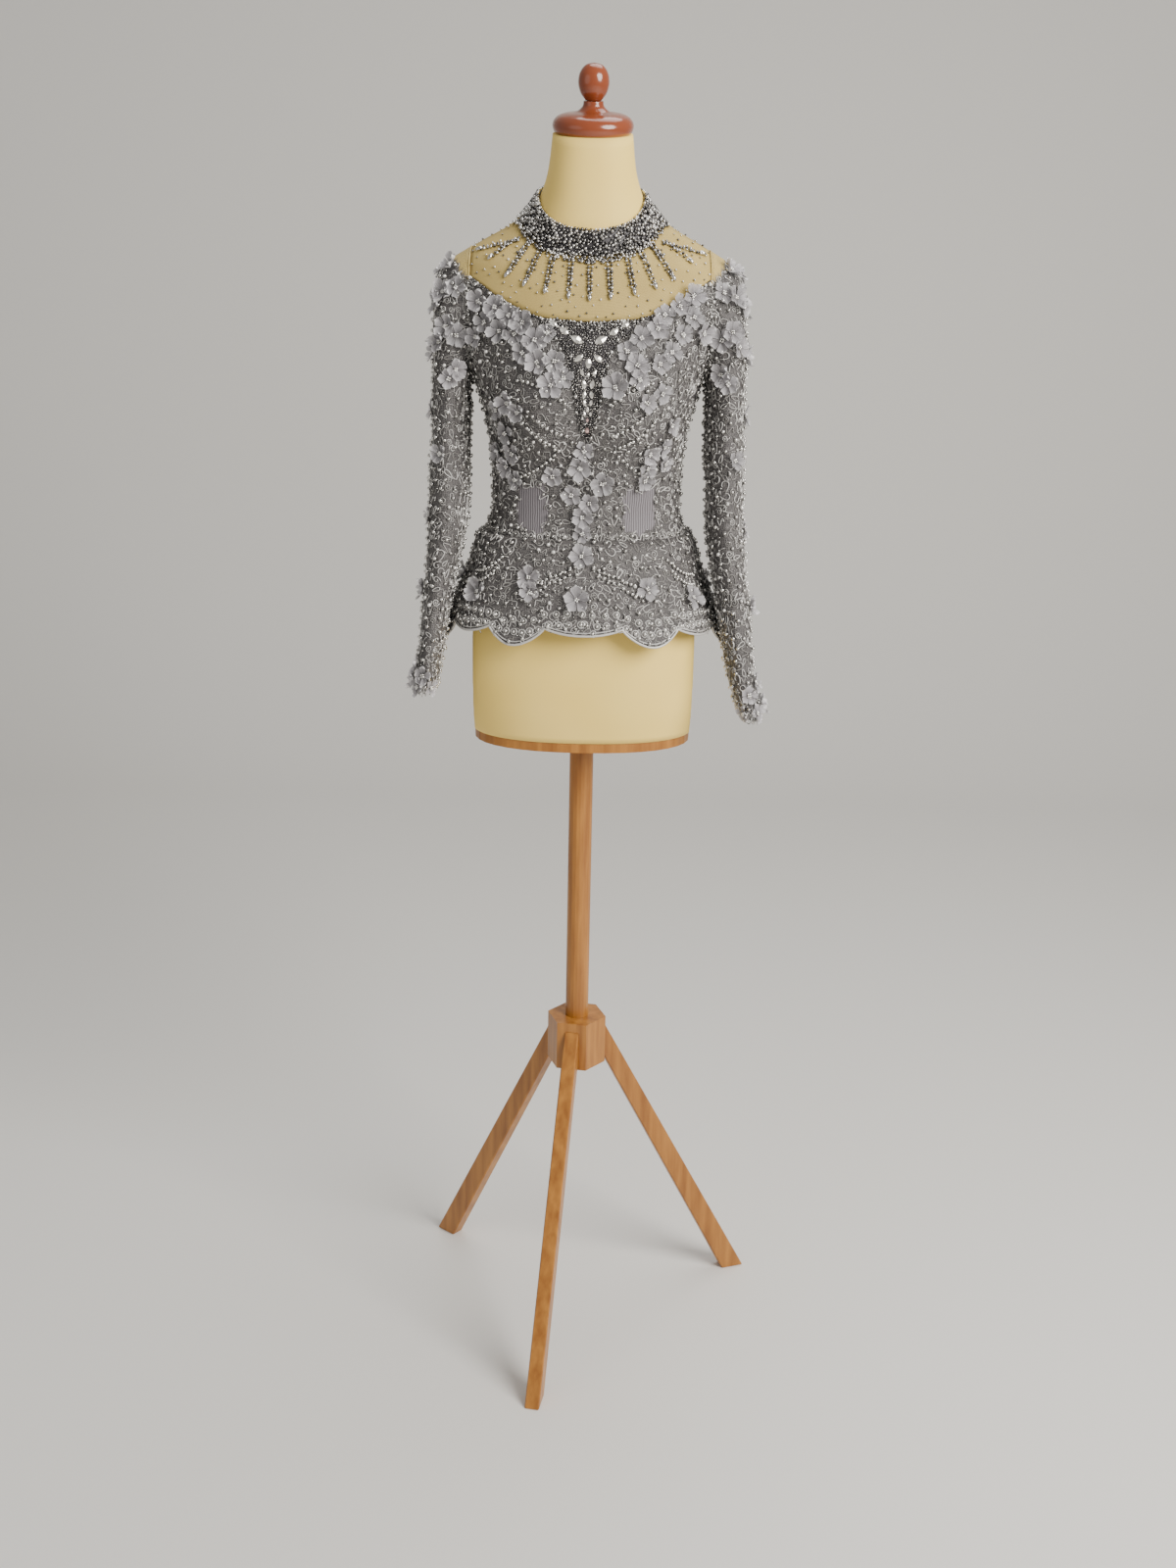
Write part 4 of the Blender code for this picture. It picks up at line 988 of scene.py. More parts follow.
FLOWER_REACH = 0.0168
HEART_BEAD = 0.0018
HEART_SPREAD = 0.0019
HEART_RISE = 0.0036

# Crystals of the pendant motif, mirrored. Columns: x, height, length, width, lean_degrees
PENDANT_STONES = (
    (0.0000, 1.3650, 0.0140, 0.0095, 90.0),
    (0.0118, 1.3705, 0.0125, 0.0085, 142.0),
    (0.0145, 1.3915, 0.0160, 0.0105, 28.0),
    (0.0300, 1.4010, 0.0135, 0.0090, 34.0),
    (0.0430, 1.4090, 0.0110, 0.0072, 28.0),
    (0.0000, 1.3510, 0.0075, 0.0050, 90.0),
    (0.0080, 1.3535, 0.0080, 0.0054, 60.0),
    (0.0056, 1.3405, 0.0110, 0.0075, 80.0),
    (0.0052, 1.3285, 0.0092, 0.0062, 100.0),
    (0.0048, 1.3190, 0.0078, 0.0052, 75.0),
    (0.0000, 1.3110, 0.0082, 0.0055, 90.0),
    (0.0046, 1.3060, 0.0060, 0.0040, 80.0),
    (0.0000, 1.2990, 0.0075, 0.0050, 90.0),
    (0.0000, 1.2865, 0.0095, 0.0064, 90.0),
)
# Outline of the motif. Columns: height, half_width
PENDANT_OUTLINE = (
    (1.278, 0.0040), (1.300, 0.0100), (1.330, 0.0165), (1.368, 0.0235),
    (1.384, 0.0300), (1.396, 0.0430), (1.408, 0.0560),
)

# Bead rays below the collar, mirrored. Columns: start_x, start_z, tip_x, tip_z
RAYS = (
    (0.0000, 1.4820, 0.0000, 1.4393), (0.0228, 1.4810, 0.0250, 1.4413), (0.0445, 1.4850, 0.0530, 1.4468),
    (0.0595, 1.4927, 0.0778, 1.4538), (0.0717, 1.5025, 0.0992, 1.4632), (0.0800, 1.5125, 0.1198, 1.4815),
    (0.0850, 1.5220, 0.1350, 1.4960),
)
# Lower edge of the close beads under the collar. Columns: x, z
COLLAR_FRINGE = (
    (0.000, 1.4768), (0.025, 1.4800), (0.045, 1.4840), (0.060, 1.4915),
    (0.072, 1.5015), (0.086, 1.5210), (0.200, 1.5300),
)
BACK_FRINGE = 0.004
RAY_BEAD_STEP = 0.0040
RAY_HALF_WIDTH = 0.0025

# Least distance between the middles of beads or scrolls of one kind
CLOSE_BEADS = 0.0033
PENDANT_BEADS = 0.0023
YOKE_BEADS = 0.0090
LACE_SCROLLS = 0.0077
COLLAR_EDGE_BEADS = 100
# Columns: kind, least distance, smallest and largest radius
LACE_BEADS = (("seeds", 0.0092, 0.0010, 0.0014), ("beads", 0.0104, 0.0021, 0.0029))
# Round beads of the strings: how high they sit, their radius and their shade
STRING_SEAT = 0.0023
STRING_RADIUS = 0.0026
STRING_SHADE = 0.83
STRING_STEP = 0.0052

# How far apart the work on the seams is, in turn, round the waist and round an armhole
WAIST_STEP = 0.048
ARMHOLE_STEP = 0.075
# Where the work on a cuff sits, as a section: the cuff's edge is the last one
CUFF_EYELETS = LAST_SECTION - 0.30
CUFF_SCROLLS = LAST_SECTION - 0.05
CUFF_BEADS = LAST_SECTION - 0.03
CUFF_CORD = LAST_SECTION - 0.02
EYELETS_ROUND_CUFF = 24
BEADS_ROUND_CUFF = 42
# Rows of eyelets above the hem. Columns: step in turn, down
EYELET_ROWS = ((0.064, 0.910), (0.079, 0.795))
# Cords on the hem. Columns: down, radius
HEM_CORDS = ((1.0, 0.0015), (0.968, 0.0008))
# Points of a cord that runs all the way round
HEM_CORD_POINTS = 420
WAIST_CORD_POINTS = 280
ARMHOLE_CORD_POINTS = 144
CUFF_CORD_POINTS = 72

# Strings of beads on the bodice, mirrored: x and height at the two ends and the sag between
BEAD_STRINGS = (
    (0.070, 1.308, 0.032, 1.282, 0.004),
    (0.076, 1.294, 0.040, 1.268, 0.004),
    (0.034, 1.262, 0.078, 1.226, 0.004),
    (0.028, 1.318, 0.076, 1.342, -0.003),
)
STRING_BEADS = 10
# Strings of beads on the peplum, mirrored: turn and down at the two ends and the sag
PEPLUM_STRINGS = (
    (3.0, 0.27, 21.0, 0.42, 0.05),
    (5.0, 0.36, 23.0, 0.52, 0.05),
    (42.0, 0.22, 60.0, 0.40, 0.04),
    (44.0, 0.34, 58.0, 0.50, 0.04),
)


# Where the lace ends and the net begins on a sleeve: a line that rises from the armhole
NET_EDGE_START = (ARMHOLE_X, 1.457)
NET_EDGE_RISE = 1.26
NET_EDGE_BLEND = 0.002
# The plain pleated patches at the waist, mirrored: middle and half sizes
PATCH_X = 0.066
PATCH_HEIGHT = 1.186
PATCH_HALF = (0.020, 0.030)


def spin_along(facing, direction):
    """The spin that turns a piece's X along a direction on the cloth."""
    across = np.cross(np.array([0.0, 0.0, 1.0]), facing)
    across /= np.maximum(np.linalg.norm(across, axis=1, keepdims=True), 1e-9)
    rise = np.cross(facing, across)
    return np.arctan2((direction * rise).sum(1), (direction * across).sum(1))


def patch_reach(x, y, height):
    """How far a place lies from the middle of a plain patch: 1 at its wandering edge."""
    across = (np.abs(x) - PATCH_X) / PATCH_HALF[0]
    up = (height - PATCH_HEIGHT) / PATCH_HALF[1]
    round_turn = np.arctan2(up, across)
    wander = 1.0 + 0.10 * np.sin(5 * round_turn + 40 * x) + 0.07 * np.sin(9 * round_turn + 1.3)
    reach = (np.abs(across) ** 3.2 + np.abs(up) ** 3.2) ** (1 / 3.2) / wander
    return np.where(y < 0, reach, 9.0)


def on_bodice(turn, height):
    """Which places on the figure lie on the bodice's lace, off its plain patches."""
    point = figure_point(turn, height)
    x, y = point[:, 0], point[:, 1]
    boat = np.where(y < 0, boat_height(x, "front"), boat_height(x, "back"))
    inside = (height < boat - 0.002) & (np.abs(x) < ARMHOLE_X - 0.0035)
    return inside & (patch_reach(x, y, height) > 0.94)


def on_pendant(turn, height, grow=0.0):
    x = figure_point(turn, height)[:, 0]
    outline = Table(PENDANT_OUTLINE).read(height)[0]
    within = (height > PENDANT_OUTLINE[0][0]) & (height < PENDANT_OUTLINE[-1][0] + 0.004)
    return within & (np.abs(x) < outline + grow) & (np.cos(turn) > 0)


def is_net(points):
    """Which places on a sleeve lie on the net that runs over the shoulder."""
    x, z = np.abs(points[..., 0]), points[..., 2]
    return z > NET_EDGE_START[1] + (x - NET_EDGE_START[0]) * NET_EDGE_RISE


def set_out_collar(beads):
    random = beads.random
    low, high = NECK_RING + 0.001, COLLAR_TOP_RING - 0.001
    turn, height = scatter(COLLAR_BED, (-math.pi, math.pi), (low, high), CLOSE_BEADS, 11, fill=8.0)
    radius = random.uniform(0.0017, 0.0029, len(turn))
    shade = random.uniform(0.02, 0.72, len(turn))
    beads.add(COLLAR_BED, turn, height, radius * 0.7, radius, shade=shade)
    turn = turns_round(COLLAR_EDGE_BEADS, -math.pi)
    radius = random.uniform(0.0015, 0.0023, len(turn))
    beads.add(COLLAR_BED, turn, COLLAR_TOP_RING + 0.0004, radius * 0.2, radius)
    fringe = Table(COLLAR_FRINGE)

    def near_neck(turn, height):
        point = figure_point(turn, height)
        low = fringe.read(np.abs(point[:, 0]))[0] + random.uniform(-0.002, 0.003, len(turn))
        front = (np.cos(turn) > 0) & (point[:, 2] > low)
        return front | (height > NECK_RING - BACK_FRINGE)

    ranges = ((-math.pi, math.pi), (1.478, NECK_RING))
    turn, height = scatter(FIGURE_BED, *ranges, CLOSE_BEADS, 12, near_neck, 8.0)
    radius = random.uniform(0.0017, 0.0028, len(turn))
    shade = random.uniform(0.02, 0.72, len(turn))
    beads.add(FIGURE_BED, turn, height, radius * 0.8, radius, shade=shade)


def figure_at(x, z):
    """The turn and ring height on the front of the figure for a place seen from the front."""
    ring = np.array(z, float)
    for _ in range(8):
        ring = ring + z - figure_point(turn_at(x, ring), ring)[..., 2]
    return turn_at(x, ring), ring


def set_out_rays(beads, drops):
    """Tapering double rows of beads that spread from the collar over the net."""
    for start_x, start_z, tip_x, tip_z in RAYS:
        for hand in (1, -1) if tip_x else (1,):
            corners = figure_at(np.array([start_x, tip_x]) * hand, np.array([start_z, tip_z]))
            ends = figure_point(*corners)
            length = float(np.linalg.norm(ends[1] - ends[0]))
            count = int(length / RAY_BEAD_STEP)
            share = (np.arange(count) + 0.5) / count
            line_x = hand * (start_x + (tip_x - start_x) * share)
            line_z = start_z + (tip_z - start_z) * share
            turn, height = figure_at(line_x, line_z)
            line = figure_point(turn, height)
            direction = np.gradient(line, axis=0)
            direction /= np.linalg.norm(direction, axis=1, keepdims=True)
            side = np.cross(FIGURE_BED.facing(turn, height), direction)
            width = RAY_HALF_WIDTH * (1.0 - 0.35 * share)
            for sign in (-1, 1):
                wander = beads.random.normal(0, 0.00030, count)
                moved = line + side * (sign * width + wander)[:, None]
                new_turn, ring = figure_at(moved[:, 0], moved[:, 2])
                radius = 0.0021 - 0.0003 * share + beads.random.uniform(-0.0004, 0.0004, count)
                shade = np.where((np.arange(count) + (sign > 0)) % 2 == 0, 0.10, 0.56)
                shade = np.clip(shade + beads.random.uniform(-0.12, 0.2, count), 0, 1)
                beads.add(FIGURE_BED, new_turn, ring, radius * 0.9, radius, shade=shade)
            tip = [corner[-1:] for corner in corners]
            spin = spin_along(FIGURE_BED.facing(*tip), direction[-1:])
            drops.add(FIGURE_BED, *tip, 0.0024, 0.0050, spin, 0.62)


def set_out_yoke(beads):
    """Loose small beads on the net."""

    def keep(turn, height):
        point = figure_point(turn, height)
        x = point[:, 0]
        boat = np.where(point[:, 1] < 0, boat_height(x, "front"), boat_height(x, "back"))
        above = height - boat
        thin = beads.random.uniform(0, 1, len(turn)) < np.where(above < 0.030, 1.0, 0.45)
        return (above > 0.004) & (np.abs(x) < ARMHOLE_X - 0.004) & thin

    turn, height = scatter(FIGURE_BED, (-math.pi, math.pi), (1.414, 1.520), YOKE_BEADS, 21, keep)
    radius = beads.random.uniform(0.0011, 0.0017, len(turn))
    beads.add(FIGURE_BED, turn, height, radius * 0.8, radius)


def set_out_boat_line(beads):
    """Close beads along the boat line, front and back."""
    random = beads.random
    for face in ("front", "back"):
        for row, (drop, step) in enumerate(((0.0012, 0.0040), (0.0048, 0.0042), (0.0085, 0.0050))):
            x = np.arange(-0.142, 0.142, step) + step / 2 * (row % 2)
            if row:
                close = np.exp(-((np.abs(x) - 0.098) / 0.020) ** 2) + (np.abs(x) < 0.058)
                x = x[random.uniform(0, 1, len(x)) < np.clip(close + 0.15, 0, 1)]
            height = boat_height(x, face) - drop + random.normal(0, 0.0006, len(x))
            turn = facing_turn(turn_at(x, height), face)
            radius = random.uniform(0.0014, 0.0022, len(x))
            beads.add(FIGURE_BED, turn, height, radius * 0.8, radius)


def set_out_pendant(beads, stones):
    """Crystals and close beads of the motif at the centre front."""
    bed = Bed(lambda turn, height: figure_lifted(turn, height, CLOTH_LIFT + CLOTH_WALL + 0.0014))
    centres = []
    for x, height, length, width, lean in PENDANT_STONES:
        for hand in (1, -1) if x else (1,):
            turn = float(turn_at(np.array(hand * x), height))
            angle = math.radians(lean if hand > 0 else 180 - lean)
            size = length / 2
            pink = 0.2 if height < 1.300 else 0.7
            stones.add(bed, turn, height, 0.0008, size, angle, pink)
            centres.append((bed.at(turn, height), (length + width) / 4))
    places = np.array([place for place, _ in centres]).reshape(-1, 3)
    reaches = np.array([reach for _, reach in centres])

    def keep(turn, height):
        points = bed.surface(turn, height)
        gaps = np.linalg.norm(points[:, None, :] - places[None], axis=2) - reaches[None]
        return on_pendant(turn, height, 0.002) & (gaps.min(1) > 0.0006)

    turn, height = scatter(bed, (-0.62, 0.62), (1.276, 1.412), PENDANT_BEADS, 31, keep, 9.0)
    radius = beads.random.uniform(0.0011, 0.0018, len(turn))
    shade = beads.random.uniform(0.02, 0.50, len(turn))
    beads.add(bed, turn, height, radius * 0.5, radius, shade=shade)


def set_out_flowers(flowers, hearts, bed, across, up, size, seed):
    """A flower at each place, with four beads at its heart."""
    random = np.random.default_rng(seed)
    count = len(across)
    facing = bed.facing(across, up)
    spin = random.uniform(0, 2 * math.pi, count)
    size = np.asarray(size) * FLOWER_REACH
    for number, kind in enumerate(flowers):
        own = np.arange(count) % len(flowers) == number
        if own.any():
            kind.add(bed, across[own], up[own], 0.0008, size[own], spin[own])
    up_cloth = np.cross(facing, np.cross(np.array([0.0, 0.0, 1.0]), facing))
    side = np.cross(up_cloth, facing)
    point = bed.surface(across, up)
    for bead in range(HEART_BEADS):
        turn = spin + 2 * math.pi * bead / HEART_BEADS
        offset = side * np.cos(turn)[:, None] + up_cloth * np.sin(turn)[:, None]
        place = point + offset * HEART_SPREAD + facing * HEART_RISE
        shade = random.uniform(0.5, 1.0, count)
        hearts.keep_places(place, facing, np.full(count, HEART_BEAD), spin, shade, across)


def string_line(start, end, sag, count):
    """Values along a sagging line between two pairs of values."""
    share = np.linspace(0, 1, count)
    first = start[0] + (end[0] - start[0]) * share
    second = start[1] + (end[1] - start[1]) * share - sag * np.sin(share * math.pi)
    return first, second


def set_out_strings(bodice, peplum):
    """Sagging strings of round beads on the bodice and the peplum."""
    look = (STRING_SEAT, STRING_RADIUS, None, STRING_SHADE)
    for x0, z0, x1, z1, sag in BEAD_STRINGS:
        count = int(math.hypot(x1 - x0, z1 - z0) / STRING_STEP)
        x, height = string_line((x0, z0), (x1, z1), sag, count)
        for hand in (1, -1):
            bodice.add(FIGURE_BED, turn_at(hand * x, height), height, *look)
    for t0, d0, t1, d1, sag in PEPLUM_STRINGS:
        turn, down = string_line((math.radians(t0), d0), (math.radians(t1), d1), -sag, STRING_BEADS)
        for hand in (1, -1):
            for start in (0.0, math.pi):
                peplum.add(PEPLUM_BED, start + hand * turn, down, *look)


def set_out_lace(sets, region, bed, ranges, keep, seed):
    """Scrolls, small beads and larger beads strewn over a stretch of lace."""
    across, up = scatter(bed, *ranges, LACE_SCROLLS, seed, keep, 3.5)
    random = np.random.default_rng(seed + 5)
    kind = random.integers(0, SCROLLS, len(across))
    for number in range(SCROLLS):
        picked = kind == number
        size = random.uniform(0.0040, 0.0062, picked.sum())
        sets[region, "scroll", number].add(bed, across[picked], up[picked], 0.0001, size)
    for offset, (name, spacing, smallest, largest) in enumerate(LACE_BEADS):
        across, up = scatter(bed, *ranges, spacing, seed + 11 + offset, keep)
        radius = random.uniform(smallest, largest, len(across))
        shade = random.uniform(0.45, 0.92, len(across))
        sets[region, name].add(bed, across, up, radius * 0.85, radius, shade=shade)


def set_out_seams(sets):
    """Scrolls and beads sewn across the armhole and waist seams, so the lace runs on."""
    random = np.random.default_rng(33)
    turn = np.arange(-math.pi / 2, 3 * math.pi / 2, WAIST_STEP)
    turn = turn + random.uniform(-0.012, 0.012, len(turn))
    height = WAIST_SEAM + random.uniform(0.0, 0.0035, len(turn))
    kind = random.integers(0, SCROLLS, len(turn))
    size = random.uniform(0.0042, 0.0060, len(turn))
    for number in range(SCROLLS):
        own = kind == number
        sets["bodice", "scroll", number].add(FIGURE_BED, turn[own], height[own], 0.0004, size[own])
    own = random.uniform(0, 1, len(turn)) < 0.45
    radius = random.uniform(0.0016, 0.0023, own.sum())
    sets["bodice", "beads"].add(FIGURE_BED, turn[own], height[own] + 0.001, radius, radius)
    for hand, region in ((1, "sleeve_left"), (-1, "sleeve_right")):
        bed = SLEEVE_BEDS[hand]
        turn = np.arange(0.0, 2 * math.pi, ARMHOLE_STEP)
        turn = turn + random.uniform(-0.02, 0.02, len(turn))
        section = random.uniform(0.0, 0.06, len(turn))
        lace = ~is_net(bed.surface(turn, section))
        turn, section = turn[lace], section[lace]
        kind = random.integers(0, SCROLLS, len(turn))
        size = random.uniform(0.0042, 0.0058, len(turn))
        for number in range(SCROLLS):
            own = kind == number
            sets[region, "scroll", number].add(bed, turn[own], section[own], 0.0004, size[own])
        radius = random.uniform(0.0015, 0.0021, len(turn[::2]))
        sets[region, "beads"].add(bed, turn[::2], section[::2], radius, radius)


def set_out_cuffs(sets):
    """Eyelets, beads and small scrolls close to the edge of each cuff."""
    random = np.random.default_rng(35)
    for hand, region in ((1, "sleeve_left"), (-1, "sleeve_right")):
        bed = SLEEVE_BEDS[hand]
        turn = turns_round(EYELETS_ROUND_CUFF)
        sets[region, "rings"].add(bed, turn, CUFF_EYELETS, 0.0003, 0.0034, shade=0.9)
        sets[region, "beads"].add(bed, turn, CUFF_EYELETS, 0.0014, 0.0020, shade=0.6)
        turn = turns_round(BEADS_ROUND_CUFF)
        radius = random.uniform(0.0013, 0.0021, len(turn))
        sets[region, "beads"].add(bed, turn, CUFF_BEADS, radius * 0.5, radius)
        kind = random.integers(0, SCROLLS, len(turn))
        for number in range(SCROLLS):
            own = turn[kind == number]
            sets[region, "scroll", number].add(bed, own, CUFF_SCROLLS, 0.0003, 0.0056)


def set_out_eyelets(rings, beads):
    """Rows of eyelets above the hem, each two rings with a bead in the middle."""
    random = np.random.default_rng(37)
    for row, (step, down) in enumerate(EYELET_ROWS):
        turn = np.arange(0, 2 * math.pi, step) + step / 2 * row
        turn += random.uniform(-0.006, 0.006, len(turn))
        down = down - 0.03 * np.cos(2 * LOBES_ROUND * turn) + random.uniform(-0.012, 0.012, len(turn))
        size = random.uniform(0.0036, 0.0046, len(turn))
        rings.add(PEPLUM_BED, turn, down, 0.0003, size, shade=1.0)
        rings.add(PEPLUM_BED, turn, down, 0.0003, size * 0.64, shade=0.3)
        beads.add(PEPLUM_BED, turn, down, 0.0016, size * 0.58, shade=0.83)


def surface_cord(name, points, facing, radius, closed=False, sides=6):
    """A cord that follows points on the cloth."""
    mesh = bmesh.new()
    count = len(points)
    rings = []
    for number in range(count):
        if closed:
            along = points[(number + 1) % count] - points[number - 1]
        else:
            along = points[min(number + 1, count - 1)] - points[max(number - 1, 0)]
        along = along / np.linalg.norm(along)
        side = np.cross(along, facing[number])
        side /= np.linalg.norm(side)
        rise = np.cross(side, along)
        turns = [2 * math.pi * corner / sides for corner in range(sides)]
        ring = [points[number] + (side * math.cos(t) + rise * math.sin(t)) * radius for t in turns]
        rings.append([mesh.verts.new(point) for point in ring])
    join_rings(mesh, rings, closed)
    bmesh.ops.recalc_face_normals(mesh, faces=mesh.faces)
    item = bmesh_object(name, mesh)
    mark(item, "shade", np.full(len(item.data.vertices), CORD_SHADE))
    return item


def edge_cord(name, bed, across, up, above, radius, closed=False):
    up = np.broadcast_to(np.asarray(up, float), across.shape)
    return surface_cord(name, bed.at(across, up, above), bed.facing(across, up), radius, closed)


def joined(name, items):
    """Join several pieces into one."""
    keep = items[0]
    with bpy.context.temp_override(
        active_object=keep, object=keep, selected_objects=items, selected_editable_objects=items
    ):
        bpy.ops.object.join()
    keep.name = name
    keep.data.name = name
    return keep


class Finish:
    """A material made of named nodes round one principled shader."""

    def __init__(self, name, colour=(0.8, 0.8, 0.8), roughness=0.5, metallic=0.0, **more):
        self.material = bpy.data.materials.new(name)
        self.material.use_nodes = True
        self.tree = self.material.node_tree
        self.shader = self.tree.nodes["Principled BSDF"]
        self.shader.inputs["Base Color"].default_value = (*colour, 1.0)
        self.shader.inputs["Roughness"].default_value = roughness
        self.shader.inputs["Metallic"].default_value = metallic
        for key, value in more.items():
            self.shader.inputs[key.replace("_", " ")].default_value = value

    def node(self, kind, inputs=None, **settings):
        node = self.tree.nodes.new(kind)
        for key, value in settings.items():
            setattr(node, key, value)
        for key, value in (inputs or {}).items():
            if isinstance(value, bpy.types.NodeSocket):
                self.tree.links.new(value, node.inputs[key])
            else:
                node.inputs[key].default_value = value
        return node

    def link(self, output, key):
        self.tree.links.new(output, self.shader.inputs[key])

    def place(self):
        return self.node("ShaderNodeTexCoord").outputs["Object"]

    def ramp(self, value, stops):
        node = self.node("ShaderNodeValToRGB", {"Fac": value})
        elements = node.color_ramp.elements
        while len(elements) < len(stops):
            elements.new(0.5)
        for element, (position, colour) in zip(elements, stops):
            element.position = position
            element.color = (*colour, 1.0)
        return node.outputs["Color"]

    def mix(self, share, low, high, blend="MIX"):
        node = self.node("ShaderNodeMix", data_type="RGBA", blend_type=blend)
        for key, value in ((0, share), (6, low), (7, high)):
            if isinstance(value, bpy.types.NodeSocket):
                self.tree.links.new(value, node.inputs[key])
            elif key == 0:
                node.inputs[key].default_value = value
            else:
                node.inputs[key].default_value = (*value, 1.0)
        return node.outputs[2]

    def math(self, operation, first, second=0.0):
        return self.node("ShaderNodeMath", {0: first, 1: second}, operation=operation).outputs[0]

    def attribute(self, name):
        return self.node("ShaderNodeAttribute", attribute_name=name).outputs["Fac"]

    def noise(self, place, scale, detail):
        inputs = {"Vector": place, "Scale": scale, "Detail": detail}
        return self.node("ShaderNodeTexNoise", inputs).outputs["Fac"]

    def cell_edges(self, place, scale, randomness):
        """Distance to the nearest edge of a net of uneven cells."""
        inputs = {"Vector": place, "Scale": scale, "Randomness": randomness}
        return self.node("ShaderNodeTexVoronoi", inputs, feature="DISTANCE_TO_EDGE").outputs["Distance"]

    def bump(self, height, strength, distance):
        inputs = {"Strength": strength, "Distance": distance, "Height": height}
        return self.node("ShaderNodeBump", inputs).outputs["Normal"]


def lace_finish():
    """Grey corded lace over a lavender-grey lining, with plain pleated patches whose folds are painted as
    dark and light bands.
    """
    made = Finish("grey_lace", roughness=0.6)
    place = made.place()
    thread = made.cell_edges(place, 430.0, 0.65)
    mottle = made.noise(place, 150.0, 3.0)
    broad = made.noise(place, 28.0, 2.0)
    ground = made.ramp(mottle, ((0.36, (0.020, 0.018, 0.018)), (0.64, (0.085, 0.077, 0.078))))
    ground = made.mix(made.ramp(broad, ((0.4, (0, 0, 0)), (0.6, (1, 1, 1)))), ground, (0.050, 0.045, 0.047))
    lines = made.ramp(thread, ((0.0, (1, 1, 1)), (0.16, (0, 0, 0))))
    lace = made.mix(lines, ground, (0.185, 0.175, 0.170))
    stripe = made.node(
        "ShaderNodeTexWave",
        {"Vector": place, "Scale": 112.0, "Distortion": 3.6, "Detail": 2.0, "Detail Scale": 0.4},
        wave_type="BANDS",
        bands_direction="X",
    ).outputs["Fac"]
    # Bands across the patches: painted shade in the pleats' folds and painted light on their ridges
    painted_pleat_shading = made.mix(stripe, (0.085, 0.074, 0.082), (0.265, 0.245, 0.262))
    ragged = made.noise(place, 130.0, 2.0)
    within = made.math("ADD", made.attribute("plain_patch"), made.math("MULTIPLY", ragged, 0.5))
    patch = made.ramp(within, ((0.73, (0, 0, 0)), (0.80, (1, 1, 1))))
    colour = made.mix(patch, lace, painted_pleat_shading)
    inside = made.attribute("lining_side")
    colour = made.mix(inside, colour, (0.150, 0.132, 0.140))
    colour = made.mix(made.attribute("net_part"), colour, (0.52, 0.385, 0.125))
    made.link(colour, "Base Color")
    height = made.node("ShaderNodeMix", {0: patch, 2: lines, 3: stripe}).outputs[0]
    made.link(made.bump(height, 0.6, 0.0006), "Normal")
    return made.material


def net_finish():
    """Fine skin-tone net with the cream form showing through it."""
    made = Finish("skin_net", roughness=0.8)
    place = made.place()
    mesh = made.cell_edges(place, 880.0, 0.3)
    broad = made.noise(place, 16.0, 2.0)
    ground = made.ramp(broad, ((0.35, (0.46, 0.335, 0.105)), (0.65, (0.58, 0.435, 0.150))))
    lines = made.ramp(mesh, ((0.0, (1, 1, 1)), (0.20, (0, 0, 0))))
    made.link(made.mix(lines, ground, (0.40, 0.295, 0.095)), "Base Color")
    made.link(made.bump(lines, 0.25, 0.0003), "Normal")
    return made.material


def form_finish():
    """Smooth cream stretch cover."""
    made = Finish("cream_cover", roughness=0.72)
    place = made.place()
    knit = made.noise(place, 900.0, 1.0)
    broad = made.noise(place, 9.0, 1.0)
    made.link(made.ramp(broad, ((0.3, (0.93, 0.665, 0.165)), (0.7, (0.97, 0.710, 0.200)))), "Base Color")
    made.link(made.bump(knit, 0.15, 0.0003), "Normal")
    return made.material


def lacquer_finish():
    made = Finish("red_brown_lacquer", (0.235, 0.052, 0.018), 0.20, Coat_Weight=0.35)
    made.shader.inputs["Coat Roughness"].default_value = 0.08
    return made.material


def wood_finish():
    """Orange-brown varnished wood with long streaks."""
    made = Finish("varnished_wood", roughness=0.34)
    place = made.node("ShaderNodeMapping", {"Vector": made.place(), "Scale": (60.0, 60.0, 6.0)})
    grain = made.noise(place.outputs["Vector"], 1.6, 4.0)
    made.link(made.ramp(grain, ((0.3, (0.27, 0.098, 0.016)), (0.7, (0.46, 0.195, 0.036)))), "Base Color")
    return made.material


def plain_finish(name, colour, roughness, metallic=0.0):
    return Finish(name, colour, roughness, metallic).material


def bead_finish():
    """Silver, pearl and gunmetal beads, one shade to a bead."""
    made = Finish("silver_beads", roughness=0.17, metallic=1.0, Coat_Weight=0.6)
    shade = made.attribute("shade")
    stops = (
        (0.00, (0.070, 0.067, 0.066)),
        (0.30, (0.200, 0.190, 0.182)),
        (0.50, (0.560, 0.545, 0.520)),
        (0.86, (0.780, 0.765, 0.735)),
        (1.00, (0.880, 0.860, 0.830)),
    )
    made.link(made.ramp(shade, stops), "Base Color")
    metal = made.ramp(shade, ((0.84, (1.0, 1.0, 1.0)), (0.90, (0.3, 0.3, 0.3))))
    made.link(metal, "Metallic")
    return made.material


def stone_finish():
    """Clear and pinkish cut crystals on foil."""
    made = Finish("cut_crystal", roughness=0.05, metallic=0.75)
    stops = ((0.2, (0.72, 0.48, 0.45)), (0.5, (0.84, 0.81, 0.75)))
    made.link(made.ramp(made.attribute("shade"), stops), "Base Color")
    made.shader.inputs["Coat Weight"].default_value = 1.0
    made.shader.inputs["Coat Roughness"].default_value = 0.03
    return made.material


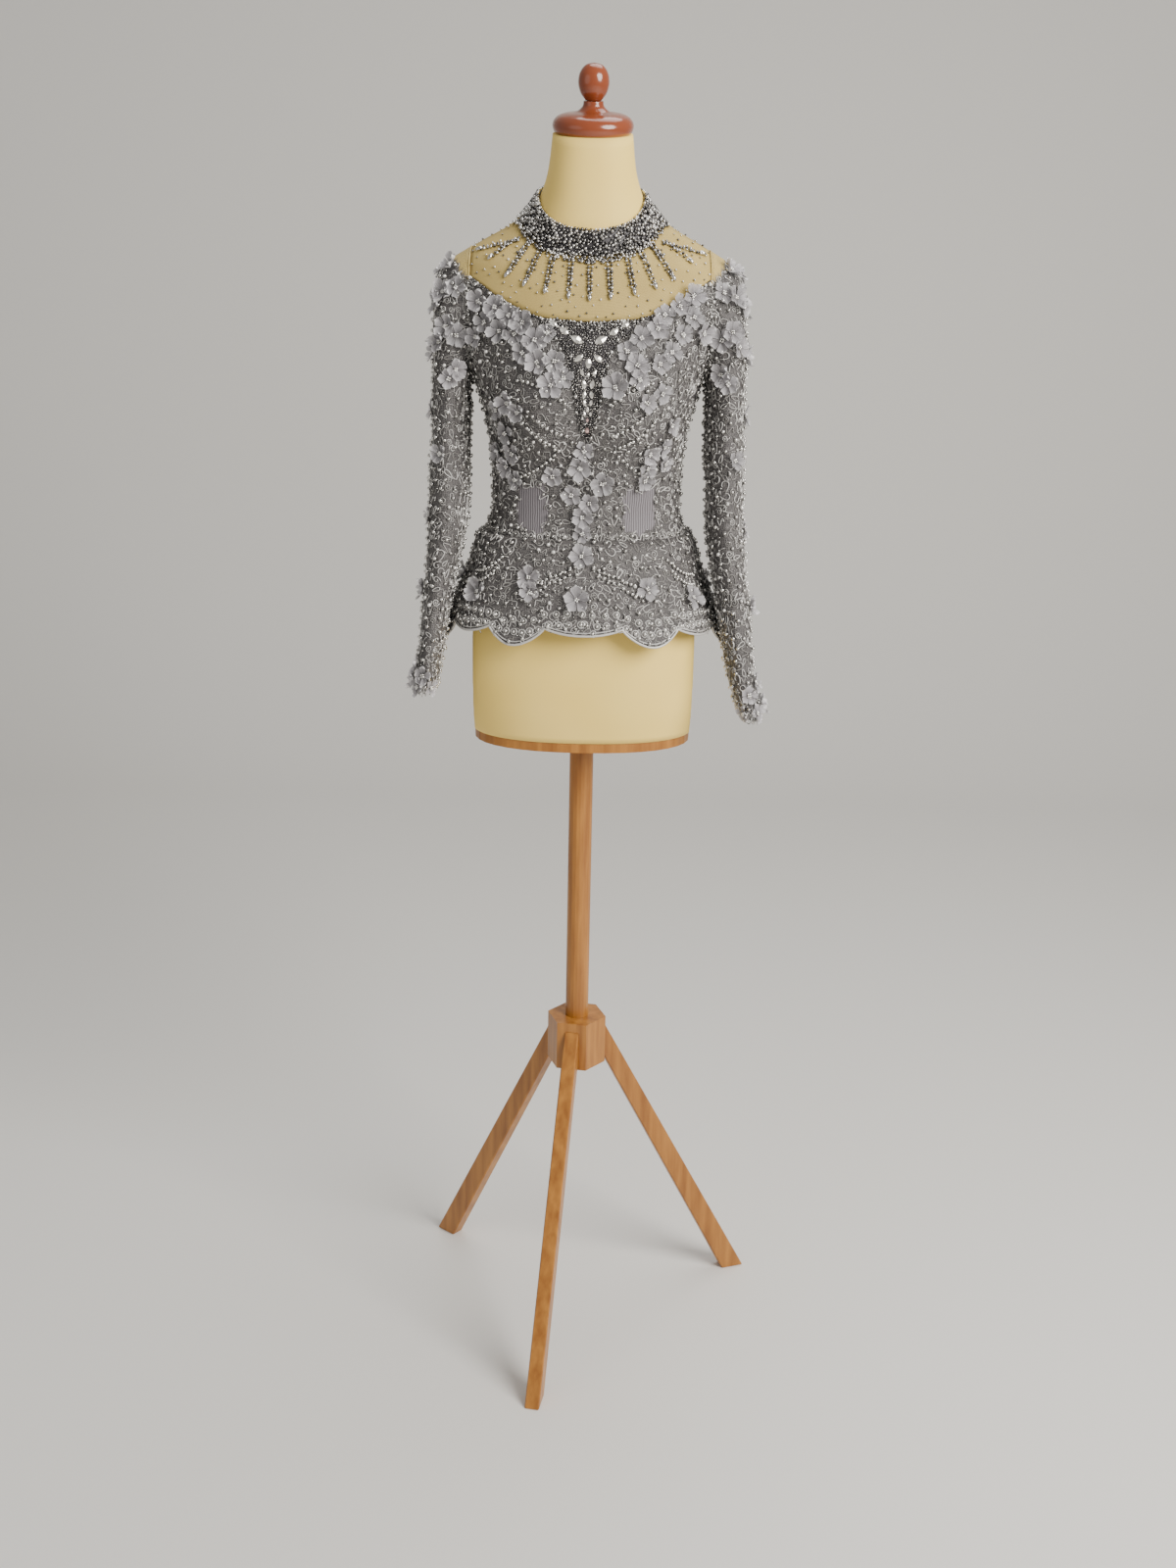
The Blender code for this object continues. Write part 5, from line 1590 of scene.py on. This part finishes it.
def petal_finish():
    """Lavender-grey organza, dark at its middle and paler at its edges: painted light, standing for light
    through the thin organza and sheen on its edges.
    """
    made = Finish("organza", roughness=0.5, Alpha=0.84)
    rim = made.attribute("rim")
    # Painted light: dark at the petal's middle, pale at its rim, for light through the thin organza and
    # sheen on its edges
    stops = (
        (0.00, (0.120, 0.112, 0.118)),
        (0.35, (0.300, 0.286, 0.300)),
        (0.70, (0.420, 0.404, 0.418)),
        (0.98, (0.860, 0.845, 0.850)),
    )
    colour = made.ramp(rim, stops)
    shade = made.ramp(made.attribute("shade"), ((0.0, (0.80, 0.80, 0.80)), (1.0, (1.06, 1.05, 1.06))))
    colour = made.mix(1.0, colour, shade, "MULTIPLY")
    ribs = made.math("SINE", made.math("MULTIPLY", made.attribute("rib"), 21.0))
    paler = made.ramp(ribs, ((0.25, (0, 0, 0)), (0.95, (0.22, 0.22, 0.22))))
    made.link(made.mix(paler, colour, (0.80, 0.79, 0.80)), "Base Color")
    made.shader.inputs["Sheen Weight"].default_value = 0.25
    vein = made.noise(made.place(), 520.0, 2.0)
    made.link(made.bump(vein, 0.25, 0.0005), "Normal")
    return made.material


def thread_finish():
    """Silvery corded thread."""
    made = Finish("silver_cord", roughness=0.45, metallic=0.25)
    stops = ((0.0, (0.250, 0.238, 0.228)), (1.0, (0.760, 0.745, 0.725)))
    made.link(made.ramp(made.attribute("shade"), stops), "Base Color")
    return made.material


# Camera: its height, distance and roll were fitted to the photograph. Its lens is longer and
# it looks further down, so that the whole stand shows
CAMERA_HEIGHT = 1.50
CAMERA_DISTANCE = 2.20
CAMERA_SIDE = 0.0095
CAMERA_ROLL = math.radians(1.13)
CAMERA_DOWN = math.radians(17.6)
PHOTO_LENS = 27.45
LENS_SHARE = 1.42
SENSOR_WIDTH = 36.0

# Floor: behind the form it runs flat past the camera's distance, then curves up into a wall
FLOOR_NEAR = -4.0
FLOOR_FLAT_TO = 2.4
FLOOR_CURVE = 0.9
FLOOR_HALF_WIDTH = 5.0
WALL_HEIGHT = 5.0

# Lights aim at the middle of the blouse. Columns: name, place, size, watts, colour
LIGHTS = (
    ("window_light", (1.9, -1.9, 2.5), 1.9, 150.0, (1.0, 0.970, 0.920)),
    ("fill_light", (-2.3, -2.0, 1.9), 2.2, 8.0, (1.0, 0.985, 0.96)),
    ("top_light", (0.3, 0.5, 3.2), 1.6, 26.0, (1.0, 1.0, 1.0)),
)
LIGHT_AIM = (0.0, 0.0, 1.2)
ROOM_COLOUR = (0.89, 0.875, 0.845, 1.0)
ROOM_STRENGTH = 0.42


def make_stage(shift):
    """A plain pale floor that curves up behind, and soft light from the viewer's right."""
    mesh = bmesh.new()
    profile = [(FLOOR_NEAR, 0.0), (FLOOR_FLAT_TO, 0.0)]
    for bend in np.linspace(0.1, math.pi / 2, 12):
        profile.append((FLOOR_FLAT_TO + math.sin(bend) * FLOOR_CURVE, (1 - math.cos(bend)) * FLOOR_CURVE))
    profile.append((FLOOR_FLAT_TO + FLOOR_CURVE, WALL_HEIGHT))
    sides = (-FLOOR_HALF_WIDTH, FLOOR_HALF_WIDTH)
    rings = [[mesh.verts.new((x, y, z)) for x in sides] for y, z in profile]
    for near, far in zip(rings, rings[1:]):
        mesh.faces.new((near[0], near[1], far[1], far[0]))
    floor = bmesh_object("floor", mesh)
    floor.data.materials.append(plain_finish("pale_floor", (0.78, 0.765, 0.735), 0.8))
    floor.location = shift
    for name, place, size, power, colour in LIGHTS:
        data = bpy.data.lights.new(name, "AREA")
        data.shape = "DISK"
        data.size = size
        data.energy = power
        data.color = colour
        lamp = bpy.data.objects.new(name, data)
        bpy.context.scene.collection.objects.link(lamp)
        lamp.location = Vector(place) + shift
        aim = Vector(LIGHT_AIM) + shift - lamp.location
        lamp.rotation_euler = aim.to_track_quat("-Z", "Y").to_euler()
    world = bpy.data.worlds.new("room")
    world.use_nodes = True
    background = world.node_tree.nodes["Background"]
    background.inputs["Color"].default_value = ROOM_COLOUR
    background.inputs["Strength"].default_value = ROOM_STRENGTH
    bpy.context.scene.world = world


def make_camera(shift):
    data = bpy.data.cameras.new("camera")
    data.lens = PHOTO_LENS * LENS_SHARE
    data.sensor_width = SENSOR_WIDTH
    camera = bpy.data.objects.new("camera", data)
    bpy.context.scene.collection.objects.link(camera)
    camera.location = Vector((CAMERA_SIDE, -CAMERA_DISTANCE, CAMERA_HEIGHT)) + shift
    aim = Matrix.Rotation(math.pi / 2 - CAMERA_DOWN, 3, "X") @ Matrix.Rotation(CAMERA_ROLL, 3, "Z")
    camera.rotation_euler = aim.to_euler()
    bpy.context.scene.camera = camera


def mesh_points(item):
    points = np.zeros(len(item.data.vertices) * 3)
    item.data.vertices.foreach_get("co", points)
    return points.reshape(-1, 3)


def mark(item, name, values):
    """Give every point of a piece a value that its finish reads."""
    item.data.attributes.new(name, "FLOAT", "POINT").data.foreach_set("value", values)


def mark_patches(cloth):
    """Two plain patches at the front of the waist, where the pleated lining shows."""
    mark(cloth, "plain_patch", np.clip(1.5 - patch_reach(*mesh_points(cloth).T), 0, 1))


def mark_net(sleeve):
    """The top of each sleeve, where the net runs over the shoulder."""
    points = mesh_points(sleeve)
    above = points[:, 2] - NET_EDGE_START[1] - (np.abs(points[:, 0]) - NET_EDGE_START[0]) * NET_EDGE_RISE
    mark(sleeve, "net_part", np.clip(above / NET_EDGE_BLEND + 0.5, 0, 1))


def set_out_all():
    """Where every bead, stone, flower and scroll goes, by region and kind."""
    kinds = ["beads", "seeds", "drops", "stones", "flowers", "cupped_flowers", "rings"]
    kinds += [("scroll", number) for number in range(SCROLLS)]
    sets = {}
    for place, region in enumerate(REGIONS):
        for number, kind in enumerate(kinds):
            key = (region, *kind) if isinstance(kind, tuple) else (region, kind)
            sets[key] = SetOut(100 * place + number)
    set_out_collar(sets["collar", "beads"])
    set_out_rays(sets["yoke", "beads"], sets["yoke", "drops"])
    set_out_yoke(sets["yoke", "beads"])
    set_out_boat_line(sets["bodice", "beads"])
    set_out_pendant(sets["bodice", "beads"], sets["bodice", "stones"])
    set_out_strings(sets["bodice", "beads"], sets["peplum", "beads"])
    set_out_seams(sets)
    set_out_cuffs(sets)

    def open_lace(turn, height):
        return on_bodice(turn, height) & ~on_pendant(turn, height, -0.004)

    around = (-math.pi / 2, 3 * math.pi / 2)
    set_out_lace(sets, "bodice", FIGURE_BED, (around, (WAIST_SEAM + 0.002, 1.462)), open_lace, 41)
    set_out_lace(sets, "peplum", PEPLUM_BED, (around, (0.02, 0.985)), None, 61)
    for hand, region in ((1, "sleeve_left"), (-1, "sleeve_right")):
        bed = SLEEVE_BEDS[hand]

        def on_lace(turn_round, section, bed=bed):
            return ~is_net(bed.surface(turn_round, section))

        ranges = ((0.0, 2 * math.pi), (0.06, LAST_SECTION - 0.06))
        set_out_lace(sets, region, bed, ranges, on_lace, 81 + hand)
        rows = np.array(SLEEVE_FLOWERS)
        kept = on_lace(np.radians(rows[:, 1]), rows[:, 0])
        rows = rows[kept]
        places = (np.radians(rows[:, 1]), rows[:, 0], rows[:, 2])
        blooms = [sets[region, "flowers"], sets[region, "cupped_flowers"]]
        set_out_flowers(blooms, sets[region, "beads"], bed, *places, 7 + hand)
    rows = np.array(FRONT_FLOWERS)
    turn = turn_at(rows[:, 0], rows[:, 1])
    blooms = [sets["bodice", "flowers"], sets["bodice", "cupped_flowers"]]
    work = (blooms, sets["bodice", "beads"], FIGURE_BED)
    set_out_flowers(*work, turn, rows[:, 1], rows[:, 2], 3)
    rows = np.array(BACK_FLOWERS)
    for hand in (1, -1):
        turn = math.pi - turn_at(hand * rows[:, 0], rows[:, 1])
        set_out_flowers(*work, turn, rows[:, 1], rows[:, 2], 4 + hand)
    rows = np.array(PEPLUM_FLOWERS)
    blooms = [sets["peplum", "flowers"], sets["peplum", "cupped_flowers"]]
    work = (blooms, sets["peplum", "beads"], PEPLUM_BED)
    set_out_flowers(*work, np.radians(rows[:, 0]), rows[:, 1], rows[:, 2], 9)
    set_out_eyelets(sets["peplum", "rings"], sets["peplum", "beads"])
    return sets


def sew_on(sets, lace):
    """Make every repeated piece, and return them with their finish slots."""
    tree = repeat_tree()
    small = bead_template("seed_bead", 5, 3)
    beads, stones = bead_finish(), stone_finish()
    petals, cord = petal_finish(), thread_finish()
    drop = lathe_template(
        "drop_bead", ((-1.0, 0.12), (-0.6, 0.42), (0.0, 0.56), (0.5, 0.46), (0.9, 0.20), (1.0, 0.08)), 8
    )
    stone = lathe_template(
        "cut_stone", ((-1.0, 0.10), (-0.55, 0.52), (0.05, 0.68), (0.6, 0.42), (1.0, 0.08)), 8, 0.6, False
    )
    flower = flower_template("open_flower", 0.3, 0.22, 0.07)
    cupped = flower_template("cupped_flower", 1.1, 0.48, 0.12)
    ring = ring_template()
    scrolls = scroll_templates()
    pieces = {
        "beads": (bead_template("round_bead", 8, 4), beads, "crystal", 0.1),
        "seeds": (small, beads, "crystal", 0.1),
        "drops": (drop, beads, "crystal", 0.0),
        "stones": (stone, stones, "crystal", 0.0),
        "flowers": (flower, petals, "organza", 0.12),
        "cupped_flowers": (cupped, petals, "organza", 0.12),
        "rings": (ring, cord, "thread", 0.05),
    }
    made = []
    for region in REGIONS:
        for panel in PANELS if region in PANELLED else ("",):
            cloth = "_".join(filter(None, (region, panel)))
            for kind, (piece, material, slot, spread) in pieces.items():
                places = sets[region, kind].joined(panel)
                if places and len(places[0]):
                    item = repeated(f"{cloth}_{kind}", tree, places, piece, material, spread, 5)
                    made.append((item, slot, cloth))
            items = []
            for number in range(SCROLLS):
                places = sets[region, "scroll", number].joined(panel)
                if places and len(places[0]):
                    name = f"{cloth}_scrolls_{number}"
                    items.append(repeated(name, tree, places, scrolls[number], cord, 0.1, number))
            if items:
                made.append((joined(f"{cloth}_scrolls", items), "thread", cloth))
    turn = turns_round(HEM_CORD_POINTS, -math.pi / 2)
    for number, (down, radius) in enumerate(HEM_CORDS):
        item = edge_cord(f"hem_cord_{number}", PEPLUM_BED, turn, down, 0.0004, radius, True)
        item.data.materials.append(cord)
        made.append((item, "thread", "peplum_front"))
    for hand, region in ((1, "left"), (-1, "right")):
        bed = SLEEVE_BEDS[hand]
        turn = turns_round(CUFF_CORD_POINTS)
        item = edge_cord(f"cuff_cord_{region}", bed, turn, CUFF_CORD, 0.0, 0.0013, True)
        item.data.materials.append(cord)
        made.append((item, "thread", f"sleeve_{region}"))
        turn = turns_round(ARMHOLE_CORD_POINTS)
        points = armhole_point(turn, CLOTH_LIFT + CLOTH_WALL - 0.0006) * np.array([hand, 1.0, 1.0])
        facing = bed.facing(turn, 0.004)
        item = surface_cord(f"armhole_seam_{region}", points, facing, 0.0012, True)
        item.data.materials.append(lace)
        mark_net(item)
        made.append((item, "thread", f"sleeve_{region}"))
    turn = turns_round(WAIST_CORD_POINTS, -math.pi / 2)
    item = edge_cord("waist_seam", FIGURE_BED, turn, WAIST_SEAM, -0.0006, 0.0012, True)
    item.data.materials.append(lace)
    made.append((item, "thread", "bodice_front"))
    for item in (flower, cupped, ring, drop, stone, small, pieces["beads"][0], *scrolls):
        bpy.data.objects.remove(item, do_unlink=True)
    return made


def make_pendant():
    """The thin ground that the pendant's crystals are sewn to."""
    rows = np.array(PENDANT_OUTLINE)
    across = np.linspace(-1, 1, 13)[None, :]
    height = np.repeat(rows[:, :1], 13, axis=1)
    turn = turn_at(rows[:, 1:] * across, height)
    low, high = (CLOTH_LIFT + CLOTH_WALL + lift for lift in (0.0005, 0.0014))
    return grid_mesh("pendant_ground", figure_lifted(turn, height, high), figure_lifted(turn, height, low))


def move_mesh(item, shift):
    item.data.transform(Matrix.Translation(shift))


def main():
    for item in list(bpy.data.objects):
        bpy.data.objects.remove(item, do_unlink=True)
    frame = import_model()
    low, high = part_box("pole")
    shift = Vector(((low.x + high.x) / 2, (low.y + high.y) / 2, 0.0))

    lace, net = lace_finish(), net_finish()
    cover, lacquer, wood = form_finish(), lacquer_finish(), wood_finish()
    ground = plain_finish("bead_ground", (0.055, 0.050, 0.055), 0.5)
    replaced = []
    bodice = make_bodice()
    mark_patches(bodice[0])
    yokes = make_yokes()
    collar = make_collar()
    peplum = make_peplum()
    sleeves = make_sleeves()
    for item in sleeves:
        mark_net(item)
    for item in (*bodice, *peplum, *sleeves):
        replaced.append((item, item.name.removeprefix("cloth_"), "lace", lace))
    for item in yokes:
        replaced.append((item, item.name.removeprefix("cloth_"), "net", net))
    replaced.append((collar, "collar", "beadwork", ground))
    replaced.append((make_pendant(), "neck_pendant", "beadwork", ground))
    replaced.append((make_form(), "form_torso", "form_cover", cover))
    replaced.append((make_turned("lacquered_cap", CAP_PROFILE, SEAM_GAP), "neck_cap", "lacquer", lacquer))
    knob_foot = CAP_PROFILE[0][1] + 2 * SEAM_GAP
    replaced.append((make_turned("lacquered_knob", KNOB_PROFILE, knob_foot), "cap_knob", "lacquer", lacquer))
    for item, node, slot, material in replaced:
        item.data.materials.append(material)
        move_mesh(item, shift)
        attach(item, "root")
        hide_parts(node)
    sewn = {}
    for item, slot, cloth in sew_on(set_out_all(), lace):
        move_mesh(item, shift)
        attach(item, "root")
        sewn.setdefault(cloth, []).append(item)
    for name in ("base_board", "pole", "hub", "leg_front", "leg_left", "leg_right"):
        node = frame["nodes"][name]
        node.data.materials.clear()
        node.data.materials.append(wood)

    make_stage(shift)
    make_camera(shift)


main()
